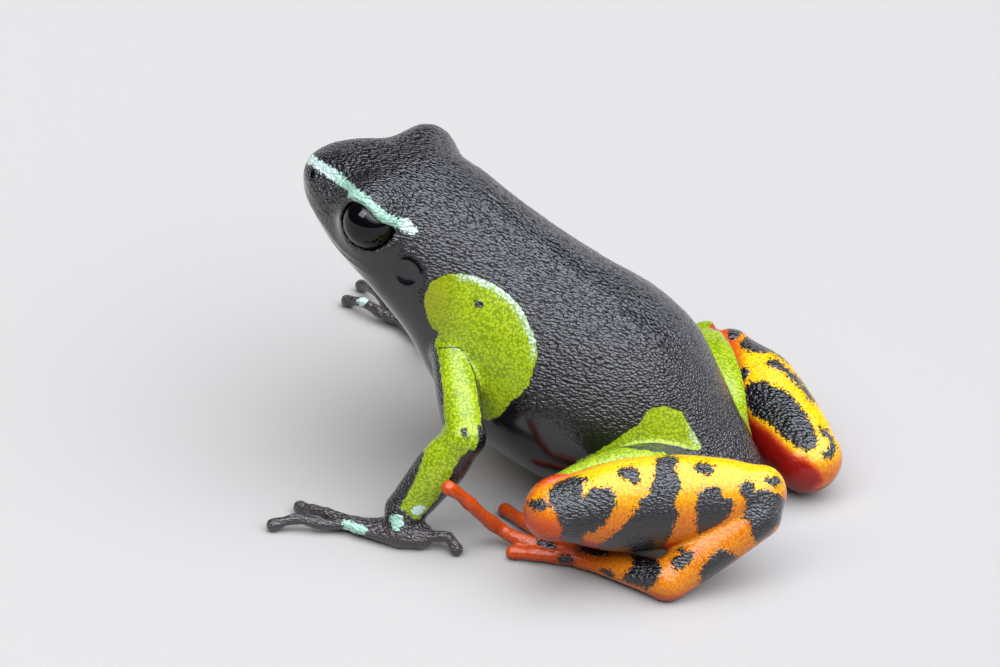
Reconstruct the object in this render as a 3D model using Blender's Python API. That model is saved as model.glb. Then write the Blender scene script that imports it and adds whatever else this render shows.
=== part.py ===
"""A mantella, a small day-active frog, sitting with its chest raised, at life size.

The frog faces -Y with its left side at +X and the floor at z = 0. Every size below is in
millimetres. set_down() turns the finished pieces into metres and moves the frame's origin to
the middle of the footprint, on the floor.
"""
import math

import bmesh
import bpy
from mathutils import Matrix, Vector

MM = 0.001
GAP = 0.3
SHARP = math.radians(50)
REACH = 30.0
UP = (0, 0, 1)
LEFTWARD = (1, 0, 0)

# The trunk and head, rump to snout. Each station holds y and z on the back, y and z on the
# belly, half-width, the share of the height where the sides are widest, squareness above and
# below, and how much the sides lean in towards the back.
BODY = [
    (10.75, 1.90, 10.60, 1.20, 0.45, 0.50, 2.0, 2.0, 0.00),
    (10.35, 3.05, 9.80, 0.55, 1.45, 0.46, 2.1, 2.1, 0.05),
    (9.05, 4.90, 8.10, 0.15, 2.45, 0.44, 2.1, 2.2, 0.06),
    (7.75, 7.05, 5.90, -0.04, 3.45, 0.43, 2.1, 2.3, 0.08),
    (6.35, 8.95, 3.60, 0.10, 4.30, 0.43, 2.15, 2.3, 0.10),
    (4.30, 10.25, 1.20, 0.55, 4.70, 0.44, 2.15, 2.3, 0.10),
    (1.80, 11.12, -1.10, 1.35, 4.70, 0.45, 2.1, 2.3, 0.10),
    (-0.60, 12.15, -3.05, 2.35, 4.45, 0.46, 2.1, 2.3, 0.10),
    (-2.90, 13.20, -4.60, 3.90, 4.10, 0.48, 2.3, 2.3, 0.12),
    (-4.70, 13.98, -5.90, 6.10, 3.95, 0.46, 2.6, 2.3, 0.12),
    (-6.60, 14.50, -7.60, 8.10, 3.80, 0.42, 2.9, 2.4, 0.18),
    (-8.40, 14.42, -9.10, 9.35, 3.45, 0.40, 3.0, 2.3, 0.22),
    (-9.90, 14.28, -10.40, 10.45, 2.70, 0.40, 3.0, 2.2, 0.22),
    (-11.15, 13.95, -11.40, 11.35, 1.90, 0.42, 2.7, 2.2, 0.18),
    (-11.95, 13.50, -12.05, 12.05, 1.10, 0.46, 2.2, 2.1, 0.10),
    (-12.27, 13.05, -12.27, 12.45, 0.38, 0.50, 2.0, 2.0, 0.00),
]
BODY_RINGS = 36
CLEAR_TO = 12
BODY_SIDES = 28
NECK = (-4.35, 9.4)
NECK_RISE = 0.42
TRUNK_MIDDLE = (0, 3.0, 6.0)

EYE_AT = (3.07, -7.71, 12.55)
EYE_R = 1.3
EYE_GAP = 0.22
LID_R = 1.76
LID_LIFT = 0.1
EYE_LOOK = (0.98, 0.02, 0.08)
LID_OPEN = (1.6, 1.52)
LID_SIDES = 16
LID_CUT = (0.15, 1.0)
LID_REACH = 1.5 * LID_R

# Places on the skin: a position along BODY and an angle up from the widest level, in degrees.
NOSTRIL = (13.05, 38)
NOSTRIL_R = 0.2
EAR = (9.2, 6)
EAR_R = 0.62
EAR_RIM = 0.16
EAR_RAISED = 0.1
MOUTH = [(9.85, -8), (10.6, -12), (11.5, -18), (12.4, -26), (13.2, -38), (13.75, -55),
         (14.05, -72), (14.15, -90)]
LIP_R = 0.32
LIP_RAISED = 0.12
MOUTH_LINE_R = 0.11

# Joints of the limbs.
HIP = {"left": (2.0, 8.3, 2.8), "right": (-2.0, 8.0, 2.6)}
THIGH_END = {"left": (8.75, 4.1, 3.95), "right": (-8.75, 4.6, 2.9)}
KNEE = {"left": (9.17, 4.03, 3.87), "right": (-8.58, 5.73, 3.0)}
KNEE_SEAM = {"left": 0.0, "right": 0.8}
HEEL = {"left": (3.7, 11.87, 4.0), "right": (-3.45, 11.65, 1.75)}
HEEL_SEAM = 0.45
TARSUS_START = {"left": (4.3, 12.0, 3.3), "right": (-3.6, 11.6, 1.3)}
SHANK_WIDE = {"left": (0.0, 0.0, 1.0), "right": (-0.6, 0.5, 0.62)}
ANKLE = {"left": (7.5, 9.1, 0.82), "right": (-8.9, 8.9, 0.82)}
SHOULDER = {"left": (3.3, -3.45, 7.2), "right": (-3.3, -3.1, 7.2)}
ELBOW = {"left": (7.3, -1.0, 5.3), "right": (-7.15, -4.4, 4.3)}
WRIST = {"left": (8.4, -3.3, 1.35), "right": (-7.2, -8.3, 1.35)}

# Limb profiles: share of the length, half-width, half-depth.
THIGH = [(0.0, 1.3, 1.3), (0.30, 2.0, 1.8), (0.60, 2.15, 1.8), (0.85, 1.75, 1.5),
         (1.0, 1.4, 1.3)]
SHANK = {
    "left": [(0.0, 1.3, 1.25), (0.30, 2.15, 1.6), (0.60, 2.2, 1.65), (0.85, 1.8, 1.4),
             (1.0, 1.35, 1.15)],
    "right": [(0.0, 1.25, 1.25), (0.30, 1.95, 1.6), (0.60, 1.95, 1.65), (0.85, 1.8, 1.6),
              (1.0, 1.6, 1.5)],
}
TARSUS = [(0.0, 1.15, 1.05), (0.5, 1.12, 1.05), (1.0, 1.0, 0.95)]
UPPER_ARM = [(0.0, 1.05, 1.0), (0.5, 1.0, 1.0), (1.0, 0.92, 0.9)]
FOREARM = [(0.0, 0.9, 0.88), (0.35, 1.12, 1.0), (0.8, 1.0, 0.9), (1.0, 0.9, 0.8)]
LIMB_RINGS = 9
END_TURNS = (20, 52)
LIMB_SIDES = 14

# Hands and feet: a wrist or ankle piece, a palm or sole, and the digits from root to tip.
PALM = [(0.0, 0.75, 0.5), (0.4, 0.85, 0.5), (1.0, 0.55, 0.3)]
PALM_ENDS = {
    "left": ((8.65, -2.3, 0.46), (9.15, -5.3, 0.46)),
    "right": ((-7.75, -8.6, 0.46), (-8.35, -10.5, 0.46)),
}
WRIST_AT = 0.3
WRIST_STUB = [(0.0, 0.9, 0.8), (1.0, 0.9, 0.75)]
FINGERS = {
    "left": [
        [(8.5, -4.1, 0.55), (7.7, -4.1, 0.42), (7.1, -3.8, 0.28)],
        [(9.05, -5.5, 0.5), (9.0, -6.6, 0.55), (8.9, -7.5, 0.50), (8.7, -8.3, 0.30)],
        [(9.2, -5.5, 0.5), (9.75, -6.7, 0.45), (10.1, -7.8, 0.62), (10.6, -8.75, 0.30)],
        [(8.75, -2.3, 0.6), (8.7, -1.6, 0.68), (8.6, -1.05, 0.75), (8.7, -0.6, 0.30)],
    ],
    "right": [
        [(-7.8, -9.4, 0.55), (-7.2, -9.2, 0.42), (-6.7, -8.7, 0.28)],
        [(-8.3, -10.6, 0.5), (-8.5, -11.8, 0.5), (-8.9, -13.1, 0.62), (-9.25, -14.1, 0.28)],
        [(-8.45, -10.6, 0.5), (-9.2, -11.8, 0.45), (-10.2, -13.1, 0.66), (-10.9, -14.1, 0.28)],
        [(-7.9, -8.9, 0.6), (-8.8, -8.7, 0.6), (-9.6, -8.5, 0.62), (-10.2, -8.2, 0.28)],
    ],
}
SOLE = [(0.0, 1.0, 0.85), (0.5, 0.85, 0.6), (1.0, 0.7, 0.42)]
SOLE_END = {"left": (6.95, 4.9, 0.5), "right": (-9.9, 5.6, 0.5)}
TOES = {
    "left": [
        [(6.7, 6.2, 0.5), (5.9, 5.4, 0.42), (5.3, 4.8, 0.3)],
        [(6.7, 5.2, 0.5), (6.0, 3.9, 0.42), (5.3, 2.7, 0.3)],
        [(6.8, 4.9, 0.5), (6.2, 2.9, 0.45), (5.5, 1.4, 0.5), (4.7, 0.1, 0.3)],
        [(7.00, 4.70, 0.50), (7.09, 1.87, 0.60), (6.93, 0.82, 0.75), (7.49, 0.24, 1.52),
         (8.08, -0.22, 2.39), (8.61, -0.60, 3.13), (9.19, -0.90, 3.72)],
        [(7.2, 5.2, 0.5), (7.5, 3.5, 0.45), (7.8, 1.8, 0.3)],
    ],
    "right": [
        [(-9.5, 6.9, 0.5), (-8.7, 6.0, 0.42), (-8.2, 5.3, 0.3)],
        [(-9.6, 5.9, 0.5), (-9.0, 4.5, 0.42), (-8.5, 3.2, 0.3)],
        [(-9.8, 5.6, 0.5), (-9.5, 3.6, 0.45), (-9.1, 2.0, 0.5), (-8.7, 0.7, 0.3)],
        [(-9.9, 5.4, 0.5), (-10.1, 3.0, 0.45), (-10.1, 0.6, 0.5), (-10.0, -0.8, 0.55),
         (-9.8, -2.1, 0.3)],
        [(-10.1, 5.9, 0.5), (-10.7, 4.2, 0.45), (-11.3, 2.6, 0.3)],
    ],
}
DIGIT_R = {"finger": 0.25, "toe": 0.31}
DISC_R = {"finger": 0.34, "toe": 0.36}
TUBE_RESOLUTION = 2
WELD = 0.0001

COLOURS = {
    "skin_black": ((0.012, 0.012, 0.014), 0.35),
    "skin_green": ((0.40, 0.50, 0.03), 0.5),
    "skin_orange": ((0.75, 0.28, 0.02), 0.4),
    "skin_red": ((0.55, 0.06, 0.02), 0.4),
    "skin_grey": ((0.06, 0.05, 0.05), 0.4),
    "eye_black": ((0.008, 0.008, 0.010), 0.08),
}


def clear_scene():
    for obj in list(bpy.data.objects):
        bpy.data.objects.remove(obj)


def material_named(name):
    found = bpy.data.materials.get(name)
    if found:
        return found
    colour, roughness = COLOURS[name]
    made = bpy.data.materials.new(name)
    made.use_nodes = True
    shader = made.node_tree.nodes["Principled BSDF"]
    shader.inputs["Base Color"].default_value = (*colour, 1.0)
    shader.inputs["Roughness"].default_value = roughness
    return made


def smooth_row(rows, at, column):
    """One column of a station table at a position along it, by a Catmull-Rom curve over the rows."""
    k = min(int(at), len(rows) - 2)
    t = at - k
    a = rows[max(k - 1, 0)][column]
    b, c = rows[k][column], rows[k + 1][column]
    d = rows[min(k + 2, len(rows) - 1)][column]
    return b + 0.5 * t * (c - a + t * (2 * a - 5 * b + 4 * c - d + t * (3 * (b - c) + d - a)))


def collection_named(name):
    found = bpy.data.collections.get(name)
    if not found:
        found = bpy.data.collections.new(name)
        bpy.context.scene.collection.children.link(found)
    return found


def rough_piece(name, data):
    """A piece before it is finished: it stays among the cutters, out of the render."""
    made = bpy.data.objects.new(name, data)
    made.hide_render = True
    made.display_type = "WIRE"
    collection_named("cutters").objects.link(made)
    return made


def object_from_rings(name, rings):
    """A closed skin over rings of points, with a fan at each end."""
    mesh = bmesh.new()
    loops = [[mesh.verts.new(p) for p in ring] for ring in rings]
    sides = len(rings[0])
    for low, high in zip(loops, loops[1:]):
        for i in range(sides):
            j = (i + 1) % sides
            mesh.faces.new((low[i], low[j], high[j], high[i]))
    for loop in (loops[0], loops[-1]):
        middle = mesh.verts.new(sum((v.co for v in loop), Vector()) / sides)
        for i in range(sides):
            mesh.faces.new((loop[i], loop[(i + 1) % sides], middle))
    bmesh.ops.recalc_face_normals(mesh, faces=mesh.faces)
    data = bpy.data.meshes.new(name)
    mesh.to_mesh(data)
    mesh.free()
    return rough_piece(name, data)


def body_ring(at, grow=0.0):
    """The ring of the trunk and head at a position along BODY, grown outwards in its plane."""
    back_y, back_z, low_y, low_z, wide, level, square_up, square_low, lean = (
        smooth_row(BODY, at, column) for column in range(9))
    top, low = Vector((0, back_y, back_z)), Vector((0, low_y, low_z))
    middle = low.lerp(top, level)
    ring = []
    for i in range(BODY_SIDES):
        angle = 2 * math.pi * (i + 0.5) / BODY_SIDES
        c, s = math.cos(angle), math.sin(angle)
        power = 2 / (square_up if s > 0 else square_low)
        across = math.copysign(abs(c) ** power, c)
        height = abs(s) ** power
        narrow = 1 - lean * height if s > 0 else 1
        point = middle.lerp(top if s > 0 else low, height)
        point.x += across * wide * narrow
        ring.append(point + (point - middle).normalized() * grow)
    return ring


def body(name, grow=0.0, last=len(BODY) - 1):
    """The trunk and head as one closed skin, up to a station, and grown where it cuts a limb."""
    rings = round(BODY_RINGS * last / (len(BODY) - 1))
    return object_from_rings(name, [body_ring(last * i / (rings - 1), grow) for i in range(rings)])


def clear_of_body(obj):
    """Cuts a limb back to the gap that it keeps from the trunk."""
    return combine(obj, body("clear", GAP, CLEAR_TO), "DIFFERENCE")


def ring_point(at, angle):
    """A point on the trunk or head at an angle up from its widest level."""
    ring = body_ring(at)
    turn = angle / 360 * BODY_SIDES - 0.5
    low = math.floor(turn)
    return ring[low % BODY_SIDES].lerp(ring[(low + 1) % BODY_SIDES], turn - low)


def on_skin(at, angle, side="left", out=0.0):
    """A point `out` above the skin, and the way that the skin faces there."""
    point = ring_point(at, angle)
    along = ring_point(at + 0.02, angle) - ring_point(at - 0.02, angle)
    around = ring_point(at, angle + 6) - ring_point(at, angle - 6)
    facing = around.cross(along).normalized()
    ring = body_ring(at)
    if facing.dot(point - sum(ring, Vector()) / len(ring)) < 0:
        facing = -facing
    point = point + facing * out
    if side == "right":
        point.x, facing.x = -point.x, -facing.x
    return point, facing


def limb(name, start, end, profile, across):
    """A straight limb segment between two joints, with a rounded end past each joint."""
    start, end = Vector(start), Vector(end)
    along = (end - start).normalized()
    wide_way = (Vector(across) - along * along.dot(Vector(across))).normalized()
    deep_way = along.cross(wide_way)
    length = (end - start).length
    first, last = profile[0], profile[-1]
    places = []
    for turn in END_TURNS:
        c, s = math.cos(math.radians(turn)), math.sin(math.radians(turn))
        places.append((-c * first[2], s * first[1], s * first[2]))
    for i in range(LIMB_RINGS):
        share = i / (LIMB_RINGS - 1)
        k = next(n for n in range(len(profile) - 1) if share <= profile[n + 1][0] + WELD)
        at = k + (share - profile[k][0]) / (profile[k + 1][0] - profile[k][0])
        places.append((share * length, smooth_row(profile, at, 1), smooth_row(profile, at, 2)))
    for turn in reversed(END_TURNS):
        c, s = math.cos(math.radians(turn)), math.sin(math.radians(turn))
        places.append((length + c * last[2], s * last[1], s * last[2]))
    circle = [2 * math.pi * i / LIMB_SIDES for i in range(LIMB_SIDES)]
    return object_from_rings(name, [
        [start + along * reach + wide_way * math.cos(a) * wide + deep_way * math.sin(a) * deep
         for a in circle] for reach, wide, deep in places])


def tube(name, middle, sizes):
    """A round tube of changing size along a row of points, as a closed mesh."""
    curve = bpy.data.curves.new(name, "CURVE")
    curve.dimensions = "3D"
    curve.bevel_depth = 1
    curve.bevel_resolution = TUBE_RESOLUTION
    curve.use_fill_caps = True
    spline = curve.splines.new("POLY")
    spline.points.add(len(middle) - 1)
    for point, place, size in zip(spline.points, middle, sizes):
        point.co = (*place, 1)
        point.radius = size
    source = rough_piece(name, curve)
    graph = bpy.context.evaluated_depsgraph_get()
    data = bpy.data.meshes.new_from_object(source.evaluated_get(graph))
    bpy.data.objects.remove(source)
    mesh = bmesh.new()
    mesh.from_mesh(data)
    bmesh.ops.remove_doubles(mesh, verts=mesh.verts, dist=WELD)
    bmesh.ops.recalc_face_normals(mesh, faces=mesh.faces)
    mesh.to_mesh(data)
    mesh.free()
    return rough_piece(name, data)


def digit(name, points, radius, disc):
    """A finger or toe: a tube along its points that swells to a small disc and rounds off."""
    spans = len(points) - 1
    steps = 2 * spans + 2
    middle = [Vector(smooth_row(points, min(spans * i / (steps - 1), spans), c) for c in range(3))
              for i in range(steps)]
    shares = [i / (steps - 1) for i in range(steps)]
    sizes = [radius * (1.1 - 0.2 * t) + (disc - radius * 0.9) * max(0.0, (t - 0.8) / 0.2)
             for t in shares]
    tip, way = middle[-1], (middle[-1] - middle[-2]).normalized()
    for past in (0.6, 0.95):
        middle.append(tip + way * disc * past)
        sizes.append(disc * math.sqrt(1 - past * past))
    return tube(name, middle, sizes)


def ball(name, centre, radii, segments=16, rings=10):
    mesh = bmesh.new()
    bmesh.ops.create_uvsphere(mesh, u_segments=segments, v_segments=rings, radius=1)
    data = bpy.data.meshes.new(name)
    mesh.to_mesh(data)
    mesh.free()
    data.transform(Matrix.Translation(centre) @ Matrix.Diagonal((*radii, 1)))
    return rough_piece(name, data)


def half_space(name, point, normal, size=2 * REACH):
    """A big box on the side of a plane that its normal points to."""
    mesh = bmesh.new()
    bmesh.ops.create_cube(mesh, size=size)
    data = bpy.data.meshes.new(name)
    mesh.to_mesh(data)
    mesh.free()
    normal = Vector(normal).normalized()
    turn = normal.to_track_quat("Z", "Y").to_matrix().to_4x4()
    data.transform(Matrix.Translation(Vector(point) + normal * size / 2) @ turn)
    return rough_piece(name, data)


def combine(obj, other, operation):
    """Applies one Boolean to obj and removes the other object."""
    step = obj.modifiers.new("join", "BOOLEAN")
    step.operation = operation
    step.solver = "EXACT"
    step.object = other
    graph = bpy.context.evaluated_depsgraph_get()
    data = bpy.data.meshes.new_from_object(obj.evaluated_get(graph))
    obj.modifiers.clear()
    old = obj.data
    obj.data = data
    bpy.data.meshes.remove(old)
    bpy.data.objects.remove(other)
    return obj


def keep_largest(obj):
    """Leaves only the largest closed surface of the object."""
    mesh = bmesh.new()
    mesh.from_mesh(obj.data)
    left = set(mesh.verts)
    groups = []
    while left:
        stack = [left.pop()]
        group = set(stack)
        while stack:
            for edge in stack.pop().link_edges:
                for v in edge.verts:
                    if v in left:
                        left.discard(v)
                        group.add(v)
                        stack.append(v)
        groups.append(group)
    groups.sort(key=len, reverse=True)
    for group in groups[1:]:
        bmesh.ops.delete(mesh, geom=list(group), context="VERTS")
    mesh.to_mesh(obj.data)
    mesh.free()


def cut_between(joint, to_this, to_other, shift):
    """Where a segment's end face lies, half a gap from the plane that halves the joint, and
    the way it is cut. A positive shift gives the other segment more."""
    joint = Vector(joint)
    mine = (Vector(to_this) - joint).normalized()
    other = (Vector(to_other) - joint).normalized()
    normal = (mine - other).normalized()
    return joint + normal * (GAP / 2 + shift), normal


def trim(obj, joint, to_this, to_other, shift=0.0):
    point, normal = cut_between(joint, to_this, to_other, shift)
    return combine(obj, half_space("side", point, normal), "INTERSECT")


def finish(obj, material, joint):
    """Cuts the floor flat, and gives the piece its material and an origin on its joint."""
    combine(obj, half_space("floor", (0, 0, 0), (0, 0, -1)), "DIFFERENCE")
    keep_largest(obj)
    obj.data.materials.clear()
    obj.data.materials.append(material_named(material))
    obj.data.shade_smooth()
    obj.data.set_sharp_from_angle(angle=SHARP)
    obj.data.transform(Matrix.Translation(-Vector(joint)))
    obj.location = joint
    obj.hide_render = False
    obj.display_type = "TEXTURED"
    collection_named("cutters").objects.unlink(obj)
    collection_named("mantella").objects.link(obj)
    return obj


def mirrored(point, side):
    x, y, z = point
    return (x if side == "left" else -x, y, z)


def orbit_at(side):
    """The centre of an eye and the way that it looks."""
    return Vector(mirrored(EYE_AT, side)), Vector(mirrored(EYE_LOOK, side)).normalized()


def lid_opening(name, side):
    """A cone from the middle of the eye that cuts the opening between the lids."""
    centre, look = orbit_at(side)
    grow = LID_REACH / math.sqrt(LID_R ** 2 - LID_OPEN[0] ** 2)
    wide_way = look.cross(Vector((0, 0, 1))).normalized()
    high_way = wide_way.cross(look)
    circle = [2 * math.pi * i / LID_SIDES for i in range(LID_SIDES)]
    return object_from_rings(name, [
        [centre + (look * LID_REACH + wide_way * math.cos(q) * LID_OPEN[0] * grow
                   + high_way * math.sin(q) * LID_OPEN[1] * grow) * share
         for q in circle] for share in LID_CUT])


def mouth_path(out):
    """The line of the mouth from the left corner round the snout to the right corner."""
    steps = 13
    spans = len(MOUTH) - 1
    left = []
    for i in range(steps):
        at, angle = (smooth_row(MOUTH, min(spans * i / (steps - 1), spans), c) for c in range(2))
        left.append(on_skin(at, angle, "left", out)[0])
    left[-1].x = 0
    return left + [Vector((-p.x, p.y, p.z)) for p in reversed(left[:-1])]


def ear(head, side):
    """A raised rim with a shallow dish in it, the disc of the outer ear."""
    point, facing = on_skin(*EAR, side)
    turn = facing.to_track_quat("Z", "Y").to_matrix().to_4x4()
    for name, radius, depth, place, step in (
            ("rim", EAR_R + EAR_RIM, EAR_RAISED * 3, point - facing * EAR_RAISED * 2, "UNION"),
            ("dish", EAR_R, EAR_RAISED * 2.5, point + facing * EAR_RAISED * 1.6, "DIFFERENCE")):
        disc = ball(name, (0, 0, 0), (radius, radius, depth), 14, 8)
        disc.data.transform(Matrix.Translation(place) @ turn)
        combine(head, disc, step)


def make_head_and_trunk():
    neck = Vector((0, *NECK))
    ahead = Vector((0, -1, NECK_RISE)).normalized()
    trunk = body("torso")
    combine(trunk, half_space("rear", neck - ahead * GAP / 2, -ahead), "INTERSECT")
    head = body("head")
    lips = mouth_path(LIP_RAISED - LIP_R)
    taper = [min(1.0, 0.3 + 0.25 * min(i, len(lips) - 1 - i)) for i in range(len(lips))]
    combine(head, tube("lips", lips, [LIP_R * t for t in taper]), "UNION")
    for side in ("left", "right"):
        lids = orbit_at(side)[0] + Vector(UP) * LID_LIFT
        combine(head, ball("lids", lids, [LID_R] * 3), "UNION")
        ear(head, side)
    combine(head, half_space("front", neck + ahead * GAP / 2, ahead), "INTERSECT")
    line = mouth_path(LIP_RAISED)
    combine(head, tube("line", line, [MOUTH_LINE_R] * len(line)), "DIFFERENCE")
    for side in ("left", "right"):
        socket = ball("orbit", orbit_at(side)[0], [EYE_R + EYE_GAP] * 3)
        combine(head, socket, "DIFFERENCE")
        combine(head, lid_opening("opening", side), "DIFFERENCE")
        nostril = on_skin(*NOSTRIL, side)[0]
        combine(head, ball("nostril", nostril, [NOSTRIL_R] * 3, 8, 6), "DIFFERENCE")
    return head, trunk


def hind_leg(side):
    hip, knee, heel, ankle = HIP[side], KNEE[side], HEEL[side], ANKLE[side]
    sole_end = SOLE_END[side]
    thigh = limb(f"thigh_{side}", hip, THIGH_END[side], THIGH, UP)
    trim(thigh, knee, hip, heel, KNEE_SEAM[side])
    clear_of_body(thigh)
    finish(thigh, "skin_green", hip)
    shank = limb(f"shank_{side}", knee, heel, SHANK[side], SHANK_WIDE[side])
    trim(shank, knee, heel, hip, -KNEE_SEAM[side])
    trim(shank, heel, knee, ankle, -HEEL_SEAM)
    clear_of_body(shank)
    finish(shank, "skin_orange", knee)
    tarsus = limb(f"tarsus_{side}", TARSUS_START[side], ankle, TARSUS, UP)
    trim(tarsus, heel, ankle, knee, HEEL_SEAM)
    trim(tarsus, ankle, heel, sole_end)
    finish(tarsus, "skin_orange", heel)
    foot = limb(f"foot_{side}", ankle, sole_end, SOLE, LEFTWARD)
    for points in TOES[side]:
        combine(foot, digit("toe", points, DIGIT_R["toe"], DISC_R["toe"]), "UNION")
    trim(foot, ankle, sole_end, heel)
    finish(foot, "skin_red", ankle)


def arm(side):
    shoulder, elbow, wrist = SHOULDER[side], ELBOW[side], WRIST[side]
    palm_start, palm_end = PALM_ENDS[side]
    palm_middle = Vector(palm_start).lerp(Vector(palm_end), WRIST_AT)
    upper = limb(f"upper_arm_{side}", shoulder, elbow, UPPER_ARM, UP)
    trim(upper, elbow, shoulder, wrist)
    clear_of_body(upper)
    finish(upper, "skin_green", shoulder)
    forearm = limb(f"forearm_{side}", elbow, wrist, FOREARM, UP)
    trim(forearm, elbow, wrist, shoulder)
    trim(forearm, wrist, elbow, palm_middle)
    clear_of_body(forearm)
    finish(forearm, "skin_green", elbow)
    hand = limb(f"hand_{side}", palm_start, palm_end, PALM, LEFTWARD)
    combine(hand, limb("stub", wrist, palm_middle, WRIST_STUB, UP), "UNION")
    for points in FINGERS[side]:
        combine(hand, digit("finger", points, DIGIT_R["finger"], DISC_R["finger"]), "UNION")
    trim(hand, wrist, palm_middle, elbow)
    finish(hand, "skin_grey", wrist)


def set_down():
    """Turns millimetres into metres and moves the origin to the middle of the footprint."""
    parts = list(collection_named("mantella").objects)
    corners = [obj.location + v.co for obj in parts for v in obj.data.vertices]
    middle = [(min(c[k] for c in corners) + max(c[k] for c in corners)) / 2 for k in range(2)]
    low = min(c[2] for c in corners)
    shift = Vector((middle[0], middle[1], low))
    stand = bpy.data.objects.new("stand", None)
    collection_named("mantella").objects.link(stand)
    for obj in parts:
        obj.data.transform(Matrix.Scale(MM, 4))
        obj.location = (obj.location - shift) * MM
        obj.parent = stand


clear_scene()
head, trunk = make_head_and_trunk()
finish(head, "skin_black", (0, *NECK))
finish(trunk, "skin_black", TRUNK_MIDDLE)
for side in ("left", "right"):
    eye_middle = orbit_at(side)[0]
    finish(ball(f"eye_{side}", eye_middle, [EYE_R] * 3), "eye_black", eye_middle)
    hind_leg(side)
    arm(side)
set_down()
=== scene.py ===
import math

import bpy
import numpy as np
import openvdb
from mathutils import Matrix, Vector, noise


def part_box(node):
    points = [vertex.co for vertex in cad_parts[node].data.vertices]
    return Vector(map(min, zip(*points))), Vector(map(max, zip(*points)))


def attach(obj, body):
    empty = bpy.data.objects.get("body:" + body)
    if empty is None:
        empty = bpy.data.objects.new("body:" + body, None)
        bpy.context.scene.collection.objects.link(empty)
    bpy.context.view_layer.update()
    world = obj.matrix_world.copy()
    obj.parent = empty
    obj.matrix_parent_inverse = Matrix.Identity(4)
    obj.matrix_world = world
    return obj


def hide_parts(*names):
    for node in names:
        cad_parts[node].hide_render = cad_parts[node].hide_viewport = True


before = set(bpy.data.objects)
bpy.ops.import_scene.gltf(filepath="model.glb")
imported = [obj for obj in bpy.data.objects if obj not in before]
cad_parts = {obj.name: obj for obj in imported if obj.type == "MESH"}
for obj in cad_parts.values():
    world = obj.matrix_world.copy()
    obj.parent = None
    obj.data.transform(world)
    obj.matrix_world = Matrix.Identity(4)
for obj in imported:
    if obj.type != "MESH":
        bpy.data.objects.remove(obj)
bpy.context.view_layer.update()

# Sizes are in millimetres. The frog faces -Y, its left side is at +X and the floor is z = 0.
mm = 0.001

# The trunk and head, rump to snout: back y and z, belly y and z, half-width, level of the widest
# point, squareness above and below, and how much the sides lean in.
trunk = {
    "stations": [
        (10.75, 1.90, 10.60, 1.20, 0.45, 0.50, 2.0, 2.0, 0.00),
        (10.35, 3.05, 9.80, 0.55, 1.45, 0.46, 2.1, 2.1, 0.05),
        (9.05, 4.90, 8.10, 0.15, 2.45, 0.44, 2.1, 2.2, 0.06),
        (7.75, 7.05, 5.90, -0.04, 3.45, 0.43, 2.1, 2.3, 0.08),
        (6.35, 8.95, 3.60, 0.10, 4.30, 0.43, 2.15, 2.3, 0.10),
        (4.30, 10.25, 1.20, 0.55, 4.70, 0.44, 2.15, 2.3, 0.10),
        (1.80, 11.12, -1.10, 1.35, 4.70, 0.45, 2.1, 2.3, 0.10),
        (-0.60, 12.15, -3.05, 2.35, 4.45, 0.46, 2.1, 2.3, 0.10),
        (-2.90, 13.20, -4.60, 3.90, 4.10, 0.48, 2.3, 2.3, 0.12),
        (-4.70, 13.98, -5.90, 6.10, 3.95, 0.46, 2.6, 2.3, 0.12),
        (-6.60, 14.50, -7.60, 8.10, 3.80, 0.42, 2.9, 2.4, 0.18),
        (-8.40, 14.42, -9.10, 9.35, 3.45, 0.40, 3.0, 2.3, 0.22),
        (-9.90, 14.28, -10.40, 10.45, 2.70, 0.40, 3.0, 2.2, 0.22),
        (-11.15, 13.95, -11.40, 11.35, 1.90, 0.42, 2.7, 2.2, 0.18),
        (-11.95, 13.50, -12.05, 12.05, 1.10, 0.46, 2.2, 2.1, 0.10),
        (-12.27, 13.05, -12.27, 12.45, 0.38, 0.50, 2.0, 2.0, 0.00),
    ],
    "rings": 150,
    "sides": 96,
}

# How far the cornea bulges is a share of the radius, and it starts at this cosine off the look.
eye = {"at": (3.07, -7.71, 12.55), "radius": 1.3, "look": (0.98, 0.02, 0.08), "cornea": 0.05,
       "corneaFrom": 0.35, "rings": 72, "sides": 96}
# The opening between the lids: degrees round the look from the rear corner, and degrees wide.
lid = {"radii": (1.62, 1.46, 1.62), "offset": (-0.2, 0.0, 0.25), "reach": 3.4, "soft": 1.1,
       "rim": 0.05, "rimAt": 1.35, "rimSoft": 0.08, "edgeSoft": 0.12, "clear": 0.02,
       "opening": [(-180, 60), (-103, 56), (-79, 57), (-48, 58), (-25, 62), (-9, 68), (0, 69),
                   (8, 66), (13, 55), (27, 43), (47, 38), (74, 42), (94, 48), (114, 56),
                   (135, 64), (155, 63), (180, 60)]}
nostril = {"at": (13.2, 22), "radius": 0.19, "above": 0.3, "deep": 0.35, "soft": 0.06,
           "rim": 0.03, "rimAt": 0.285, "rimReach": 0.34, "rimSoft": 0.14}
# The disc of the ear: a low rim round a shallow dish, cut by a large ball a little off the skin.
ear = {"at": (9.2, 6), "radius": 0.62, "rim": 0.06, "raised": 0.03, "rimSoft": 0.16,
       "dish": 0.86, "ball": 1.58, "ballOut": 1.55, "dishSoft": 0.1, "bare": (0.75, 1.1)}
mouth = {
    "line": [(9.85, -8), (10.6, -12), (11.5, -18), (12.4, -26), (13.2, -38), (13.75, -55),
             (14.05, -72), (14.15, -90)],
    "groove": 0.08, "grooveSoft": 0.08, "lip": 0.30, "lipOut": 0.10, "lipSoft": 0.35, "steps": 15,
    "corner": 0.3, "thicken": 0.2,
}

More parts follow.
